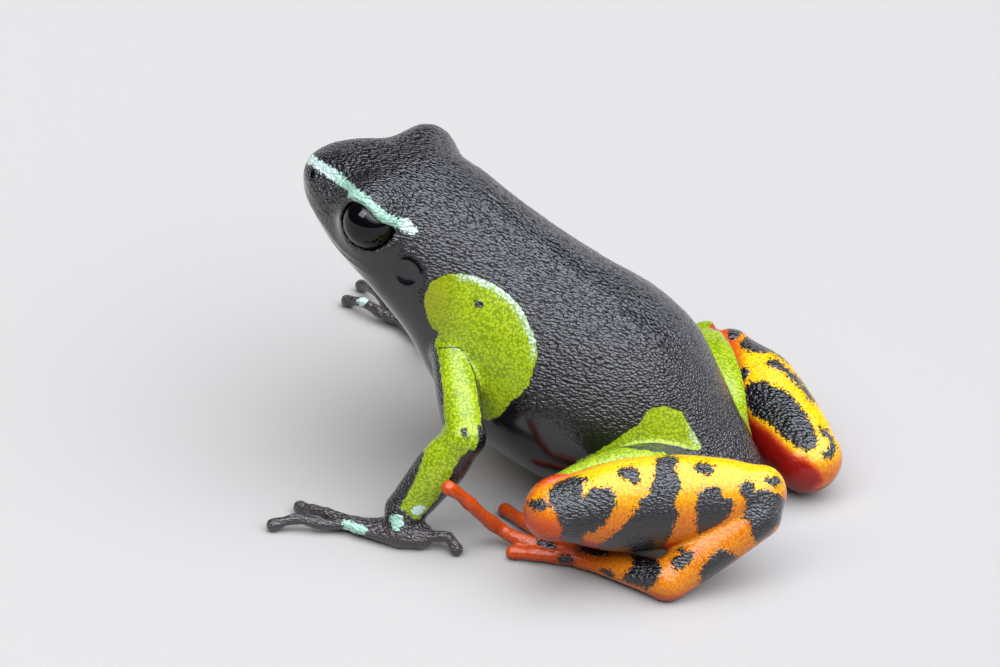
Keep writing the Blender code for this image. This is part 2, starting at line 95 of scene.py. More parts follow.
limbs = {
    "hip": {"left": (2.0, 8.3, 2.8), "right": (-2.0, 8.0, 2.6)},
    "knee": {"left": (9.17, 4.03, 3.87), "right": (-8.58, 5.73, 3.0)},
    "thighEnd": {"left": (8.75, 4.1, 3.95), "right": (-8.75, 4.6, 2.9)},
    "tarsusStart": {"left": (4.3, 12.0, 3.3), "right": (-3.6, 11.6, 1.3)},
    "heel": {"left": (3.7, 11.87, 4.0), "right": (-3.45, 11.65, 1.75)},
    "ankle": {"left": (7.5, 9.1, 0.82), "right": (-8.9, 8.9, 0.82)},
    "soleEnd": {"left": (6.95, 4.9, 0.5), "right": (-9.9, 5.6, 0.5)},
    "shoulder": {"left": (3.3, -3.45, 7.2), "right": (-3.3, -3.1, 7.2)},
    "elbow": {"left": (7.3, -1.0, 5.3), "right": (-7.15, -4.4, 4.3)},
    "wrist": {"left": (8.4, -3.3, 1.35), "right": (-7.2, -8.3, 1.35)},
    "palmStart": {"left": (8.65, -2.3, 0.46), "right": (-7.75, -8.6, 0.46)},
    "palmEnd": {"left": (9.15, -5.3, 0.46), "right": (-8.35, -10.5, 0.46)},
}
shankWide = {"left": (0.0, 0.0, 1.0), "right": (-0.6, 0.5, 0.62)}
kneeSeam = {"left": 0.0, "right": 0.8}
# Each segment: where it starts and ends, and the joint that it blends at, how far and how much.
segments = {
    "thigh": ("hip", "thighEnd", "hip", 1.0, 0.05),
    "shank": ("knee", "heel", "knee", 1.3, 0.7),
    "tarsus": ("tarsusStart", "ankle", "heel", 1.2, 0.6),
    "sole": ("ankle", "soleEnd", "ankle", 1.0, 0.5),
    "upperArm": ("shoulder", "elbow", "shoulder", 1.0, 0.05),
    "forearm": ("elbow", "wrist", "elbow", 1.1, 0.5),
    "palm": ("palmStart", "palmEnd", "wrist", 1.8, 0.35),
}

# Share of the length, half-width and half-depth.
profiles = {
    "thigh": [(0.0, 1.3, 1.3), (0.30, 2.0, 1.8), (0.60, 2.15, 1.8), (0.85, 1.75, 1.5),
              (1.0, 1.4, 1.3)],
    "shank": {
        "left": [(0.0, 1.3, 1.25), (0.30, 2.15, 1.6), (0.60, 2.2, 1.65), (0.85, 1.8, 1.4),
                 (1.0, 1.35, 1.15)],
        "right": [(0.0, 1.25, 1.25), (0.30, 1.95, 1.6), (0.60, 1.95, 1.65), (0.85, 1.8, 1.6),
                  (1.0, 1.6, 1.5)],
    },
    "tarsus": [(0.0, 1.15, 1.05), (0.5, 1.12, 1.05), (1.0, 1.0, 0.95)],
    "upperArm": [(0.0, 1.05, 1.0), (0.5, 1.0, 1.0), (1.0, 0.92, 0.9)],
    "forearm": [(0.0, 0.9, 0.88), (0.35, 1.12, 1.0), (0.8, 1.0, 0.9), (1.0, 0.9, 0.8)],
    "palm": [(0.0, 0.75, 0.5), (0.4, 0.85, 0.5), (1.0, 0.55, 0.3)],
    "stub": [(0.0, 0.9, 0.8), (1.0, 0.9, 0.75)],
    "sole": [(0.0, 1.0, 0.85), (0.5, 0.85, 0.6), (1.0, 0.7, 0.42)],
}
fingers = {
    "left": [
        [(8.5, -4.1, 0.55), (7.7, -4.1, 0.42), (7.1, -3.8, 0.28)],
        [(9.05, -5.5, 0.5), (9.0, -6.6, 0.55), (8.9, -7.5, 0.50), (8.7, -8.3, 0.30)],
        [(9.2, -5.5, 0.5), (9.75, -6.7, 0.45), (10.1, -7.8, 0.62), (10.6, -8.75, 0.30)],
        [(8.75, -2.3, 0.6), (8.7, -1.6, 0.68), (8.6, -1.05, 0.75), (8.7, -0.6, 0.30)],
    ],
    "right": [
        [(-7.8, -9.4, 0.55), (-7.2, -9.2, 0.42), (-6.7, -8.7, 0.28)],
        [(-8.3, -10.6, 0.5), (-8.5, -11.8, 0.5), (-8.9, -13.1, 0.62), (-9.25, -14.1, 0.28)],
        [(-8.45, -10.6, 0.5), (-9.2, -11.8, 0.45), (-10.2, -13.1, 0.66), (-10.9, -14.1, 0.28)],
        [(-7.9, -8.9, 0.6), (-8.8, -8.7, 0.6), (-9.6, -8.5, 0.62), (-10.2, -8.2, 0.28)],
    ],
}
toes = {
    "left": [
        [(6.7, 6.2, 0.5), (5.9, 5.4, 0.42), (5.3, 4.8, 0.3)],
        [(6.7, 5.2, 0.5), (6.0, 3.9, 0.42), (5.3, 2.7, 0.3)],
        [(6.8, 4.9, 0.5), (6.2, 2.9, 0.45), (5.5, 1.4, 0.5), (4.7, 0.1, 0.3)],
        [(7.00, 4.70, 0.50), (7.09, 1.87, 0.60), (6.93, 0.82, 0.75), (7.49, 0.24, 1.52),
         (8.08, -0.22, 2.39), (8.61, -0.60, 3.13), (9.19, -0.90, 3.72)],
        [(7.2, 5.2, 0.5), (7.5, 3.5, 0.45), (7.8, 1.8, 0.3)],
    ],
    "right": [
        [(-9.5, 6.9, 0.5), (-8.7, 6.0, 0.42), (-8.2, 5.3, 0.3)],
        [(-9.6, 5.9, 0.5), (-9.0, 4.5, 0.42), (-8.5, 3.2, 0.3)],
        [(-9.8, 5.6, 0.5), (-9.5, 3.6, 0.45), (-9.1, 2.0, 0.5), (-8.7, 0.7, 0.3)],
        [(-9.9, 5.4, 0.5), (-10.1, 3.0, 0.45), (-10.1, 0.6, 0.5), (-10.0, -0.8, 0.55),
         (-9.8, -2.1, 0.3)],
        [(-10.1, 5.9, 0.5), (-10.7, 4.2, 0.45), (-11.3, 2.6, 0.3)],
    ],
}
# Radius of the digit and of its disc, how softly it leaves the hand or foot, and the knuckles.
digitSizes = {"finger": (0.25, 0.34, 0.3), "toe": (0.31, 0.36, 0.35)}
knuckles = {"at": (0.42, 0.7), "out": 0.045, "long": 0.06, "discFrom": 0.82}
# Softness where flesh meets flesh: close together but apart, and where limbs leave the trunk as
# reach, least and most.
blends = {"apart": 0.07, "wrist": 0.35, "leg": (2.6, 0.12, 0.8), "arm": (1.5, 0.10, 0.30)}

# The field that the skin is drawn from: voxel, reach of the field on each side, and margins.
grid = {"voxel": 0.10, "band": 0.9, "low": (-12.2, -14.6, -0.5), "high": (12.2, 14.6, 15.0)}


def smoothRow(rows, at):
    # Catmull-Rom over the rows of a table, for an array of places along it
    table = np.array(rows, float)
    at = np.asarray(at, float)
    last = len(table) - 1
    k = np.clip(at.astype(int), 0, last - 1)
    t = (at - k)[..., None]
    a, b = table[np.maximum(k - 1, 0)], table[k]
    c, d = table[k + 1], table[np.minimum(k + 2, last)]
    return b + 0.5 * t * (c - a + t * (2 * a - 5 * b + 4 * c - d + t * (3 * (b - c) + d - a)))


def trunkPoint(at, angle):
    # a point on the trunk or head: place along the stations, and degrees up from the widest level
    at, angle = np.broadcast_arrays(np.asarray(at, float), np.radians(angle))
    row = smoothRow(trunk["stations"], at)
    backY, backZ, lowY, lowZ, wide, level, squareUp, squareLow, lean = np.moveaxis(row, -1, 0)
    cosine, sine = np.cos(angle), np.sin(angle)
    upper = sine > 0
    power = 2 / np.where(upper, squareUp, squareLow)
    height = np.abs(sine) ** power
    across = np.sign(cosine) * np.abs(cosine) ** power * wide
    across = across * np.where(upper, 1 - lean * height, 1)
    middleY, middleZ = lowY + (backY - lowY) * level, lowZ + (backZ - lowZ) * level
    y = middleY + (np.where(upper, backY, lowY) - middleY) * height
    z = middleZ + (np.where(upper, backZ, lowZ) - middleZ) * height
    return np.stack([across, y, z], -1)


def onSkin(at, angle, side="left"):
    # a point of the skin, and the way that the skin faces there
    point = trunkPoint(at, angle)
    along = trunkPoint(at + 0.02, angle) - trunkPoint(at - 0.02, angle)
    around = trunkPoint(at, angle + 3) - trunkPoint(at, angle - 3)
    facing = np.cross(around, along)
    facing /= np.linalg.norm(facing)
    middle = trunkPoint(at, np.arange(0, 360, 10)).mean(0)
    if facing @ (point - middle) < 0:
        facing = -facing
    if side == "right":
        point, facing = point * (-1, 1, 1), facing * (-1, 1, 1)
    return point, facing


# The field is a distance in millimetres, negative inside the skin.
origin = np.array(grid["low"], float)
counts = np.ceil((np.array(grid["high"]) - origin) / grid["voxel"]).astype(int)


def window(points, reach):
    # the block of voxels round some points
    points = np.atleast_2d(points)
    low = np.floor((points.min(0) - reach - origin) / grid["voxel"]).astype(int)
    high = np.ceil((points.max(0) + reach - origin) / grid["voxel"]).astype(int)
    low, high = np.clip(low, 0, counts), np.clip(high, 0, counts)
    block = tuple(slice(a, b) for a, b in zip(low, high))
    axes = [origin[i] + grid["voxel"] * np.arange(low[i], high[i]) for i in range(3)]
    return block, np.stack(np.meshgrid(*axes, indexing="ij"), -1)


def distanceTo(points, middle):
    return np.linalg.norm(points - np.asarray(middle, float), axis=-1)


def softMin(a, b, soft):
    h = np.maximum(soft - np.abs(a - b), 0) / soft
    return np.minimum(a, b) - h * h * soft / 4


def softMax(a, b, soft):
    return -softMin(-a, -b, soft)


def near(points, middle, reach, low, high):
    # a softness that is high near a joint and low away from it
    return low + (high - low) * np.exp(-(distanceTo(points, middle) / reach) ** 2)


def limbAxes(points, start, end, across):
    # how far points stand along a limb, across it and over it, and the limb's length
    start, end = np.array(start, float), np.array(end, float)
    length = np.linalg.norm(end - start)
    along = (end - start) / length
    wide = np.array(across, float) - along * (along @ across)
    wide /= np.linalg.norm(wide)
    place = points - start
    return place @ along, place @ wide, place @ np.cross(along, wide), length


def limbField(points, start, end, profile, across):
    t, a, b, length = limbAxes(points, start, end, across)
    shares = [row[0] for row in profile]
    at = np.interp(np.clip(t / length, 0, 1), shares, np.arange(len(profile)))
    row = smoothRow(profile, at)
    wide, deep = row[..., 1], row[..., 2]
    over = np.maximum(np.maximum(-t, t - length), 0)
    share = np.sqrt((a / wide) ** 2 + (b / deep) ** 2 + (over / deep) ** 2)
    radius = np.sqrt(a * a + b * b + over * over)
    return (share - 1) * np.where(share > 0.05, radius / np.maximum(share, 0.05), deep)


def wideWay(name, side):
    if name == "shank":
        return shankWide[side]
    return (1, 0, 0) if name in ("sole", "palm") else (0, 0, 1)


def segmentField(points, name, side):
    start, end = (limbs[joint][side] for joint in segments[name][:2])
    profile = profiles[name][side] if name == "shank" else profiles[name]
    value = limbField(points, start, end, profile, wideWay(name, side))
    if name == "thigh":
        # past the fold of the knee the shank lies over the thigh
        knee, hip, heel = (np.array(limbs[joint][side]) for joint in ("knee", "hip", "heel"))
        normal = (hip - knee) / distanceTo(hip, knee) - (heel - knee) / distanceTo(heel, knee)
        normal /= np.linalg.norm(normal)
        value = np.maximum(value, kneeSeam[side] - (points - knee) @ normal)
    return value


def digitLine(points, kind):
    # middle line and radius of a finger or toe, with a knuckle or two and a small round disc
    radius, disc = digitSizes[kind][:2]
    spans = len(points) - 1
    t = np.linspace(0, 1, 8 * spans + 1)
    middle = smoothRow(points, t * spans)
    toDisc = np.clip((t - knuckles["discFrom"]) / (1 - knuckles["discFrom"]), 0, 1)
    sizes = radius * (1.1 - 0.2 * t) + (disc - radius * 0.9) * toDisc
    for knuckle in knuckles["at"]:
        sizes = sizes + knuckles["out"] * np.exp(-((t - knuckle) / knuckles["long"]) ** 2)
    return middle, sizes


def tubeField(points, middle, sizes):
    nearest = np.full(points.shape[:-1], 9.0)
    for a, b, low, high in zip(middle, middle[1:], sizes, sizes[1:]):
        along = b - a
        share = np.clip(((points - a) @ along) / max(along @ along, 1e-9), 0, 1)
        gap = np.linalg.norm(points - a - share[..., None] * along, axis=-1)
        nearest = np.minimum(nearest, gap - low - (high - low) * share)
    return nearest


def addTo(field, make, around, reach, soft):
    block, points = window(around, reach)
    field[block] = softMin(field[block], make(points), soft(points) if callable(soft) else soft)


def bodyField():
    at = np.linspace(0, len(trunk["stations"]) - 1, trunk["rings"])
    angle = np.arange(trunk["sides"]) * 360 / trunk["sides"]
    rings = trunkPoint(at[:, None], angle[None, :])
    sides = trunk["sides"]
    points = np.concatenate([rings.reshape(-1, 3), rings[[0, -1]].mean(1)])
    row, side = np.meshgrid(np.arange(trunk["rings"] - 1), np.arange(sides), indexing="ij")
    after = (side + 1) % sides
    quads = np.stack([row * sides + side, row * sides + after,
                      (row + 1) * sides + after, (row + 1) * sides + side], -1).reshape(-1, 4)
    tip, turn = len(points) - 2, np.arange(sides)
    base = (trunk["rings"] - 1) * sides
    fans = np.concatenate([
        np.stack([turn, (turn + 1) % sides, np.full(sides, tip)], -1)[:, ::-1],
        np.stack([base + turn, base + (turn + 1) % sides, np.full(sides, tip + 1)], -1)])
    half = grid["band"] / grid["voxel"]
    level = openvdb.FloatGrid.createLevelSetFromPolygons(
        ((points - origin) / grid["voxel"]).astype(np.float32),
        triangles=fans.astype(np.uint32), quads=quads.astype(np.uint32), halfWidth=half)
    field = np.empty(counts, np.float32)
    level.copyToArray(field)
    return field * grid["voxel"]


def addHeadForms(field):
    # lips, lids, orbits, nostrils and the disc of each ear
    steps = mouth["steps"]
    spans = len(mouth["line"]) - 1
    half = [onSkin(*smoothRow(mouth["line"], min(spans * i / (steps - 1), spans)))
            for i in range(steps)]
    whole = half + [(point * (-1, 1, 1), facing * (-1, 1, 1)) for point, facing in half[-2::-1]]
    taper = [min(1.0, mouth["corner"] + mouth["thicken"] * min(i, len(whole) - 1 - i))
             for i in range(len(whole))]
    lips = np.array([p + f * (mouth["lipOut"] - mouth["lip"]) for p, f in whole])
    sizes = np.array(taper) * mouth["lip"]
    addTo(field, lambda p: tubeField(p, lips, sizes), lips, 1.0, mouth["lipSoft"])
    for side in ("left", "right"):
        flip = np.array((1 if side == "left" else -1, 1, 1))
        middle = np.array(eye["at"]) * flip
        look = np.array(eye["look"]) * flip
        look /= np.linalg.norm(look)
        cover = middle + np.array(lid["offset"]) * flip
        radii = np.array(lid["radii"])
        addTo(field, lambda p: (np.linalg.norm((p - cover) / radii, axis=-1) - 1) * radii.min(),
              cover, lid["reach"], lid["soft"])
        point, facing = onSkin(*ear["at"], side)
        block, p = window(point, 1.6)
        gap = p - point
        out = gap @ facing
        flat = np.linalg.norm(gap - out[..., None] * facing, axis=-1)
        ring = np.sqrt((flat - ear["radius"]) ** 2 + (out - ear["raised"] / 2) ** 2) - ear["rim"]
        value = softMin(field[block], ring, ear["rimSoft"])
        ball = np.sqrt(flat ** 2 + (out - ear["ballOut"]) ** 2) - ear["ball"]
        dish = np.maximum(ball, flat - ear["radius"] * ear["dish"])
        field[block] = softMax(value, -dish, ear["dishSoft"])
        # the opening between the lids, with a thin wet rim round it
        block, p = window(middle, 2.6)
        gap = p - middle
        r = np.maximum(np.linalg.norm(gap, axis=-1), 1e-6)
        away = np.arccos(np.clip(gap @ look / r, -1, 1))
        rear = np.array((0, 1, 0)) - look * look[1]
        rear /= np.linalg.norm(rear)
        high = np.cross(look, rear) * flip[0]
        turn = np.degrees(np.arctan2(gap @ high, gap @ rear))
        limit = np.radians(np.interp(turn, *zip(*lid["opening"])))
        gape = r * np.sin(np.clip(away - limit, -1.4, 1.4))
        socket = -(r - eye["radius"] - lid["clear"])
        value = np.maximum(softMax(field[block], -gape, lid["edgeSoft"]), socket)
        aside = r * (away - limit - lid["rim"])
        rim = np.sqrt((r - lid["rimAt"]) ** 2 + aside ** 2) - lid["rim"]
        field[block] = softMin(value, np.maximum(rim, socket), lid["rimSoft"])
        point, facing = onSkin(*nostril["at"], side)
        block, p = window(point, 1.2)
        r = distanceTo(p, point)
        edge = np.abs(r - nostril["rimAt"]) - nostril["rim"]
        value = softMin(field[block], np.maximum(edge, r - nostril["rimReach"]),
                        nostril["rimSoft"])
        bore = np.array([point + facing * nostril["above"], point - facing * nostril["deep"]])
        field[block] = softMax(value, -tubeField(p, bore, np.full(2, nostril["radius"])),
                               nostril["soft"])
    line = np.array([p + f * mouth["lipOut"] for p, f in whole])
    block, p = window(line, 0.6)
    groove = tubeField(p, line, np.full(len(line), mouth["groove"]))
    field[block] = softMax(field[block], -groove, mouth["grooveSoft"])


def limbsField(side, names, digits, kind):
    field = np.full(counts, grid["band"], np.float32)
    for name in names:
        start, end, joint, reach, most = segments[name]
        if name == "palm":
            # the flesh between the wrist and the palm's middle
            middle = 0.7 * np.array(limbs[start][side]) + 0.3 * np.array(limbs[end][side])
            wrist = limbs["wrist"][side]
            addTo(field, lambda p: limbField(p, wrist, middle, profiles["stub"], (0, 0, 1)),
                  [wrist, middle], 2.0, blends["wrist"])
        ends = [limbs[start][side], limbs[end][side]]
        addTo(field, lambda p: segmentField(p, name, side), ends, 3.2,
              lambda p: near(p, limbs[joint][side], reach, min(most, blends["apart"]), most))
    for points in digits[side]:
        middle, sizes = digitLine(points, kind)
        addTo(field, lambda p: tubeField(p, middle, sizes), middle, 1.2,
              lambda p: near(p, middle[0], 0.9, blends["apart"], digitSizes[kind][2]))
    return field


def wholeField():
    field = bodyField()
    addHeadForms(field)
    points = window([origin, origin + counts * grid["voxel"]], 0)[1]
    for side in ("left", "right"):
        leg = limbsField(side, ("thigh", "shank", "tarsus", "sole"), toes, "toe")
        field = softMin(field, leg, near(points, limbs["hip"][side], *blends["leg"]))
        arm = limbsField(side, ("upperArm", "forearm", "palm"), fingers, "finger")
        field = softMin(field, arm, near(points, limbs["shoulder"][side], *blends["arm"]))
    # one light smoothing, then the floor cuts the flats that the frog rests on
    for axis in range(3):
        field = (np.roll(field, 1, axis) + 2 * field + np.roll(field, -1, axis)) / 4
    return np.maximum(field, -points[..., 2])


def skinMesh(field):
    drawn = openvdb.FloatGrid(grid["band"])
    drawn.copyFromArray(field.astype(np.float32))
    points, triangles, quads = drawn.convertToPolygons(0.0, 0.0)
    points = points * grid["voxel"] + origin
    faces = quads.tolist() + triangles.tolist()
    mesh = bpy.data.meshes.new("skin")
    mesh.from_pydata(points.tolist(), [], faces)
    mesh.update()
    return mesh


# The camera stands where the photo was taken: left of the frog, a little behind, looking down.
photo = {"width": 1000, "height": 667, "azimuth": 111.55, "elevation": 30.42, "roll": 2.93,
         "distance": 250.0, "scale": 21.693, "centre": (542.8, 466.5)}


def photoAxes():
    a, e, r = (math.radians(photo[k]) for k in ("azimuth", "elevation", "roll"))
    back = np.array([math.sin(a) * math.cos(e), -math.cos(a) * math.cos(e), math.sin(e)])
    right = np.cross((0, 0, 1), back)
    right /= np.linalg.norm(right)
    up = np.cross(back, right)
    return (math.cos(r) * right + math.sin(r) * up, math.cos(r) * up - math.sin(r) * right, back)


def seenAt(points):
    # where points stand in the 1000 x 667 picture
    right, up, back = photoAxes()
    k = photo["scale"] * photo["distance"] / (photo["distance"] - points @ back)
    u, v = photo["centre"]
    return np.stack([u + k * (points @ right), v - k * (points @ up)], -1)


# Outlines of the markings as the camera sees them, corner by corner, in picture units.
outlines = {
    "stripe": [(304, 157), (312, 152), (318, 157), (326, 162), (338, 169), (348, 177), (358, 186),
        (368, 194), (378, 202), (388, 210), (398, 214), (406, 215), (412, 220), (418, 228),
        (414, 231), (402, 228), (396, 223), (386, 223), (378, 218), (370, 209), (360, 202),
        (352, 198), (348, 194), (347, 187), (334, 179), (326, 174), (318, 169), (311, 163),
        (304, 161)],
    "shoulder": [(424, 290), (430, 278), (442, 271), (456, 269), (474, 272), (490, 278),
        (504, 288), (516, 298), (524, 310), (530, 324), (535, 336), (536, 350), (533, 364),
        (528, 380), (520, 390), (510, 398), (504, 406), (498, 413), (488, 417), (481, 415),
        (474, 408), (468, 394), (460, 380), (450, 360), (436, 350), (437, 338), (439, 332),
        (437, 328), (430, 323), (426, 314), (423.6, 302)],
    "shoulderSpot": [(474, 297), (479, 295), (483, 298), (482, 304), (477, 305), (473, 302)],
    "groin": [(575, 458), (598, 447), (607, 441), (622, 430), (640, 417), (647, 405), (662, 401),
        (680, 407), (692, 427), (700, 440), (702, 470), (640, 480), (580, 475)],
    "armFront": [(425, 340), (436, 346), (439, 362), (441, 382), (442.4, 398), (443, 420),
        (436, 420), (425, 380)],
    "armRear": [(476, 420), (483, 424), (490, 440), (482, 456), (470, 480), (450, 505), (430, 530),
        (405, 532), (414, 520), (422, 510), (432, 500), (440, 488), (448, 476), (452, 464),
        (458, 454), (466, 446), (474, 445), (477, 436)],
    "armEdge": [(424, 446), (418, 462), (412, 478), (404, 494), (396, 508), (384, 500), (396, 470),
        (410, 450)],
    "armFleck": [(459, 428), (462, 423), (465, 424), (468, 430), (467, 434), (463, 432)],
    "thighTop": [(533, 494), (545, 474), (562, 459), (587, 445), (607, 441), (640, 445),
        (664, 448), (680, 480), (600, 520), (545, 520)],
    "knee": [(522, 494), (542.5, 492), (546, 497.5), (541, 502.5), (532.5, 503.8), (526, 501)],
    "shankFront": [(553.8, 474), (565, 470), (577.5, 471), (586, 473), (580.5, 479), (578, 486),
        (581, 492), (586, 486), (594, 481), (605, 481), (612.5, 487.5), (614.5, 497.5),
        (607.5, 507.5), (600, 520), (590, 525), (582.5, 527.5), (578, 540), (563, 538),
        (559.5, 527.5), (561, 520), (556, 512.5), (553.8, 505), (547.5, 497.5), (547, 485)],
    "shankSpot": [(617.5, 462.5), (630, 460), (637.5, 465), (637.5, 475), (631, 478),
        (622.5, 472.5), (616, 467.5)],
    "shankMiddle": [(653, 460), (655, 452), (664, 450), (675, 451), (678, 456), (672.5, 461),
        (675, 470), (678.5, 477.5), (676.5, 486), (672.5, 492.5), (675, 510), (668, 532),
        (660, 545), (640, 550), (600, 550), (596, 541), (605, 533), (617.5, 523.8), (627.5, 513.8),
        (636, 502.5), (637.5, 495), (647.5, 487.5), (647.5, 480), (652.5, 472.5)],
    "shankTop": [(691, 459), (700, 457), (712.5, 460), (712, 467.5), (700, 468.8), (692.5, 463.8)],
    "shankRear": [(696, 487.5), (707.5, 480.5), (717.5, 482.5), (722.5, 492.5), (731, 495),
        (730, 505), (725, 512.5), (717.5, 520), (707.5, 527), (697, 530), (695, 515), (695, 500)],
    "heel": [(737.5, 480), (745, 473.8), (751, 477.5), (752.5, 485), (767.5, 485), (777.5, 490),
        (786, 500), (782, 512), (772, 524), (762, 535), (755, 537), (750, 529), (751, 520),
        (746, 513.8), (741, 512.5), (743.8, 505), (746, 492.5), (738.8, 487.5)],
    "heelTop": [(762.5, 472.5), (775, 471), (780, 477.5), (775, 481), (765, 478.8)],
    "tarsusRear": [(700, 580), (699, 565), (707.5, 552.5), (717.5, 543.8), (726, 545), (736, 552),
        (728, 562), (715, 572), (705, 580)],
    "tarsusMiddle": [(672.5, 540), (677.5, 538.8), (686, 546), (692, 546), (691, 555),
        (680, 562.5), (672.5, 565.5), (668.8, 558.8), (670, 552.5), (678.8, 550)],
    "tarsusFront": [(630, 545), (640, 545), (647.5, 551), (656, 555), (660.5, 563.8), (655, 575),
        (645, 584), (632.5, 580), (620, 573.8), (625, 567.5), (632.5, 561), (631, 555)],
    "footEdge": [(576, 542.5), (582.5, 540), (605, 543.8), (607.5, 550), (598.8, 553),
        (585, 548.8), (577, 547)],
    "footTop": [(535, 536), (547.5, 536), (553.8, 540), (552.5, 543.8), (540, 542.5)],
    "footLow": [(555.5, 552.5), (565, 551), (573, 555), (571, 560), (560, 558)],
    "footSpot": [(600, 565), (607.5, 566), (612.5, 571), (605, 572.5)],
    "rightKnee": [(727, 333), (734, 330), (747, 331), (740, 337), (732, 342), (728, 340)],
    "rightBand": [(741, 344), (746, 339), (756, 339), (770, 344), (782, 352), (796, 364),
        (790, 365), (780, 358), (770, 352), (758, 354), (747, 351), (741.6, 348)],
    "rightBroken": [(766, 361), (774, 359), (782, 364), (792, 372), (800, 380), (808, 390),
        (816, 402), (810, 402), (802, 390), (792, 380), (782, 371), (770, 366)],
    "rightSpot": [(734, 378), (740, 369), (747, 367.6), (749.6, 372), (746, 378), (739, 384),
        (735, 383)],
    "rightOval": [(745, 390), (750, 382), (762, 380), (774, 386), (788, 392), (798, 402),
        (806, 414), (812, 426), (817, 438), (814, 446), (806, 449), (794, 444), (782, 434),
        (772, 424), (760, 418), (750, 410), (746, 402)],
    "rightHeel": [(818, 426), (826, 428), (833, 438), (835, 448), (830, 458), (824, 456),
        (822, 450), (828, 448), (829, 440), (822, 432)],
    "rightRed": [(742, 408), (750, 413), (760, 420), (772, 428), (784, 440), (796, 450),
        (808, 454), (822, 466), (830, 480), (800, 510), (760, 500), (735, 440)],
}

# Lines that the camera sees on the skin: the fold where the arm leaves the trunk, drawn as a dark
# line of painted shade, and the band of furrows along the far side of the back.
creases = {
    "armFold": [(437, 345), (447, 343.5), (457, 344), (463, 348), (469, 359), (474, 372),
        (477, 388), (478, 402)],
    "backFold": [(484, 196), (520, 226), (560, 254), (600, 284), (632, 312), (664, 342)],
}


def besideLine(places, corners):
    # distance in millimetres to a line
    nearest = np.full(len(places), 1e9)
    for a, b in zip(np.array(corners[:-1], float), np.array(corners[1:], float)):
        along = b - a
        share = np.clip(((places - a) @ along) / (along @ along), 0, 1)
        nearest = np.minimum(nearest, np.linalg.norm(places - a - share[:, None] * along, axis=1))
    return nearest / photo["scale"]


def insideOutline(places, corners):
    # distance in millimetres to an outline, positive inside it
    corners = np.array(corners, float)
    after = np.roll(corners, -1, 0)
    nearest = besideLine(places, [*corners, corners[0]])
    inside = np.zeros(len(places), bool)
    for a, b in zip(corners, after):
        along = b - a
        rises = (a[1] > places[:, 1]) != (b[1] > places[:, 1])
        with np.errstate(divide="ignore", invalid="ignore"):
            cut = a[0] + (places[:, 1] - a[1]) * along[0] / along[1]
        inside ^= rises & (places[:, 0] < cut)
    return np.where(inside, nearest, -nearest)


def sampleField(field, points):
    # the field between voxels
    place = (points - origin) / grid["voxel"]
    low = np.clip(np.floor(place).astype(int), 0, counts - 2)
    f = place - low
    total = np.zeros(len(points))
    for i in (0, 1):
        for j in (0, 1):
            for k in (0, 1):
                share = (np.abs(1 - i - f[:, 0]) * np.abs(1 - j - f[:, 1])
                         * np.abs(1 - k - f[:, 2]))
                total += share * field[low[:, 0] + i, low[:, 1] + j, low[:, 2] + k]
    return total


def step(value, low, high):
    t = np.clip((value - low) / (high - low), 0, 1)
    return t * t * (3 - 2 * t)


def partShares(points):
    # how much each point of the skin belongs to each part
    gaps = {"trunk": sampleField(bodyField(), points)}
    for side in ("left", "right"):
        for name in segments:
            gaps[name, side] = segmentField(points, name, side)
        for name, kind, lines in (("sole", "toe", toes), ("palm", "finger", fingers)):
            for line in lines[side]:
                middle, sizes = digitLine(line, kind)
                close = np.all((points > middle.min(0) - 1) & (points < middle.max(0) + 1), 1)
                gap = np.full(len(points), 9.0)
                gap[close] = tubeField(points[close], middle, sizes)
                gaps[name, side] = np.minimum(gaps[name, side], gap)
    stack = np.stack(list(gaps.values()))
    weights = np.exp(-np.clip((stack - stack.min(0)) / 0.10, 0, 40))
    weights /= weights.sum(0)
    return dict(zip(gaps, weights))


# Round pale spots under the throat and belly: place on the trunk, degrees and radius.
undersideSpots = [(11.6, -88, 0.85), (8.5, -76, 0.7), (7.6, -104, 0.8), (6.5, -72, 0.65),
                  (5.6, -100, 0.75), (4.6, -80, 0.7), (7.9, -56, 0.4), (3.6, -98, 0.55)]
# Mint spots on the wrists and hands: middle and radii.
mintSpots = [((9.31, -3.25, 1.33), 0.36), ((8.95, -2.40, 2.0), 0.27), ((9.62, -4.85, 0.62), 0.26),
             ((9.58, -5.25, 0.58), 0.27), ((9.45, -5.6, 0.55), 0.24), ((-8.85, -13.1, 0.72), 0.30),
             ((-8.0, -8.5, 1.3), 0.34)]
# Dark patches on the sides of the legs that the photo doesn't show: limb, side, mm along, degrees
# round, half-length and half-width on a leg of this radius.
legRadius = 1.5
hiddenPatches = [
    ("shank", "left", 2.0, -75, 0.75, 1.0), ("shank", "left", 5.0, -70, 0.6, 1.3),
    ("shank", "left", 7.6, -80, 0.7, 1.0), ("shank", "left", 3.6, -150, 0.5, 0.7),
    ("tarsus", "left", 1.6, 60, 0.6, 0.7), ("tarsus", "left", 4.0, 120, 0.6, 0.6),
    ("shank", "right", 1.6, -60, 0.6, 1.0), ("shank", "right", 4.2, -50, 0.7, 1.1),
    ("shank", "right", 6.6, -70, 0.6, 0.9), ("shank", "right", 3.0, -150, 0.5, 0.6),
    ("tarsus", "right", 1.5, 10, 0.6, 0.7), ("tarsus", "right", 3.6, -20, 0.6, 0.8),
    ("tarsus", "right", 5.2, 30, 0.4, 0.5), ("sole", "right", 1.2, 80, 0.4, 0.4),
    ("sole", "right", 2.9, 100, 0.4, 0.35),
]


# Where a tint grows from none to full over the picture: across (0) or down (1), in picture units.
fades = {
    # the two rims on the next line are a painted sheen on the green
    "shoulderSheen": [(0, 448, 470), (1, 362, 330)], "groinSheen": [(0, 684, 692), (1, 446, 436)],
    # the first fade on the next line darkens the upper front of the shoulder green: painted shade
    "frontShade": [(0, 470, 430), (1, 345, 300)], "frontFrost": [(0, 344, 326)],
    "rearFrost": [(0, 396, 404)], "rightKnee": [(0, 752, 732)],
}
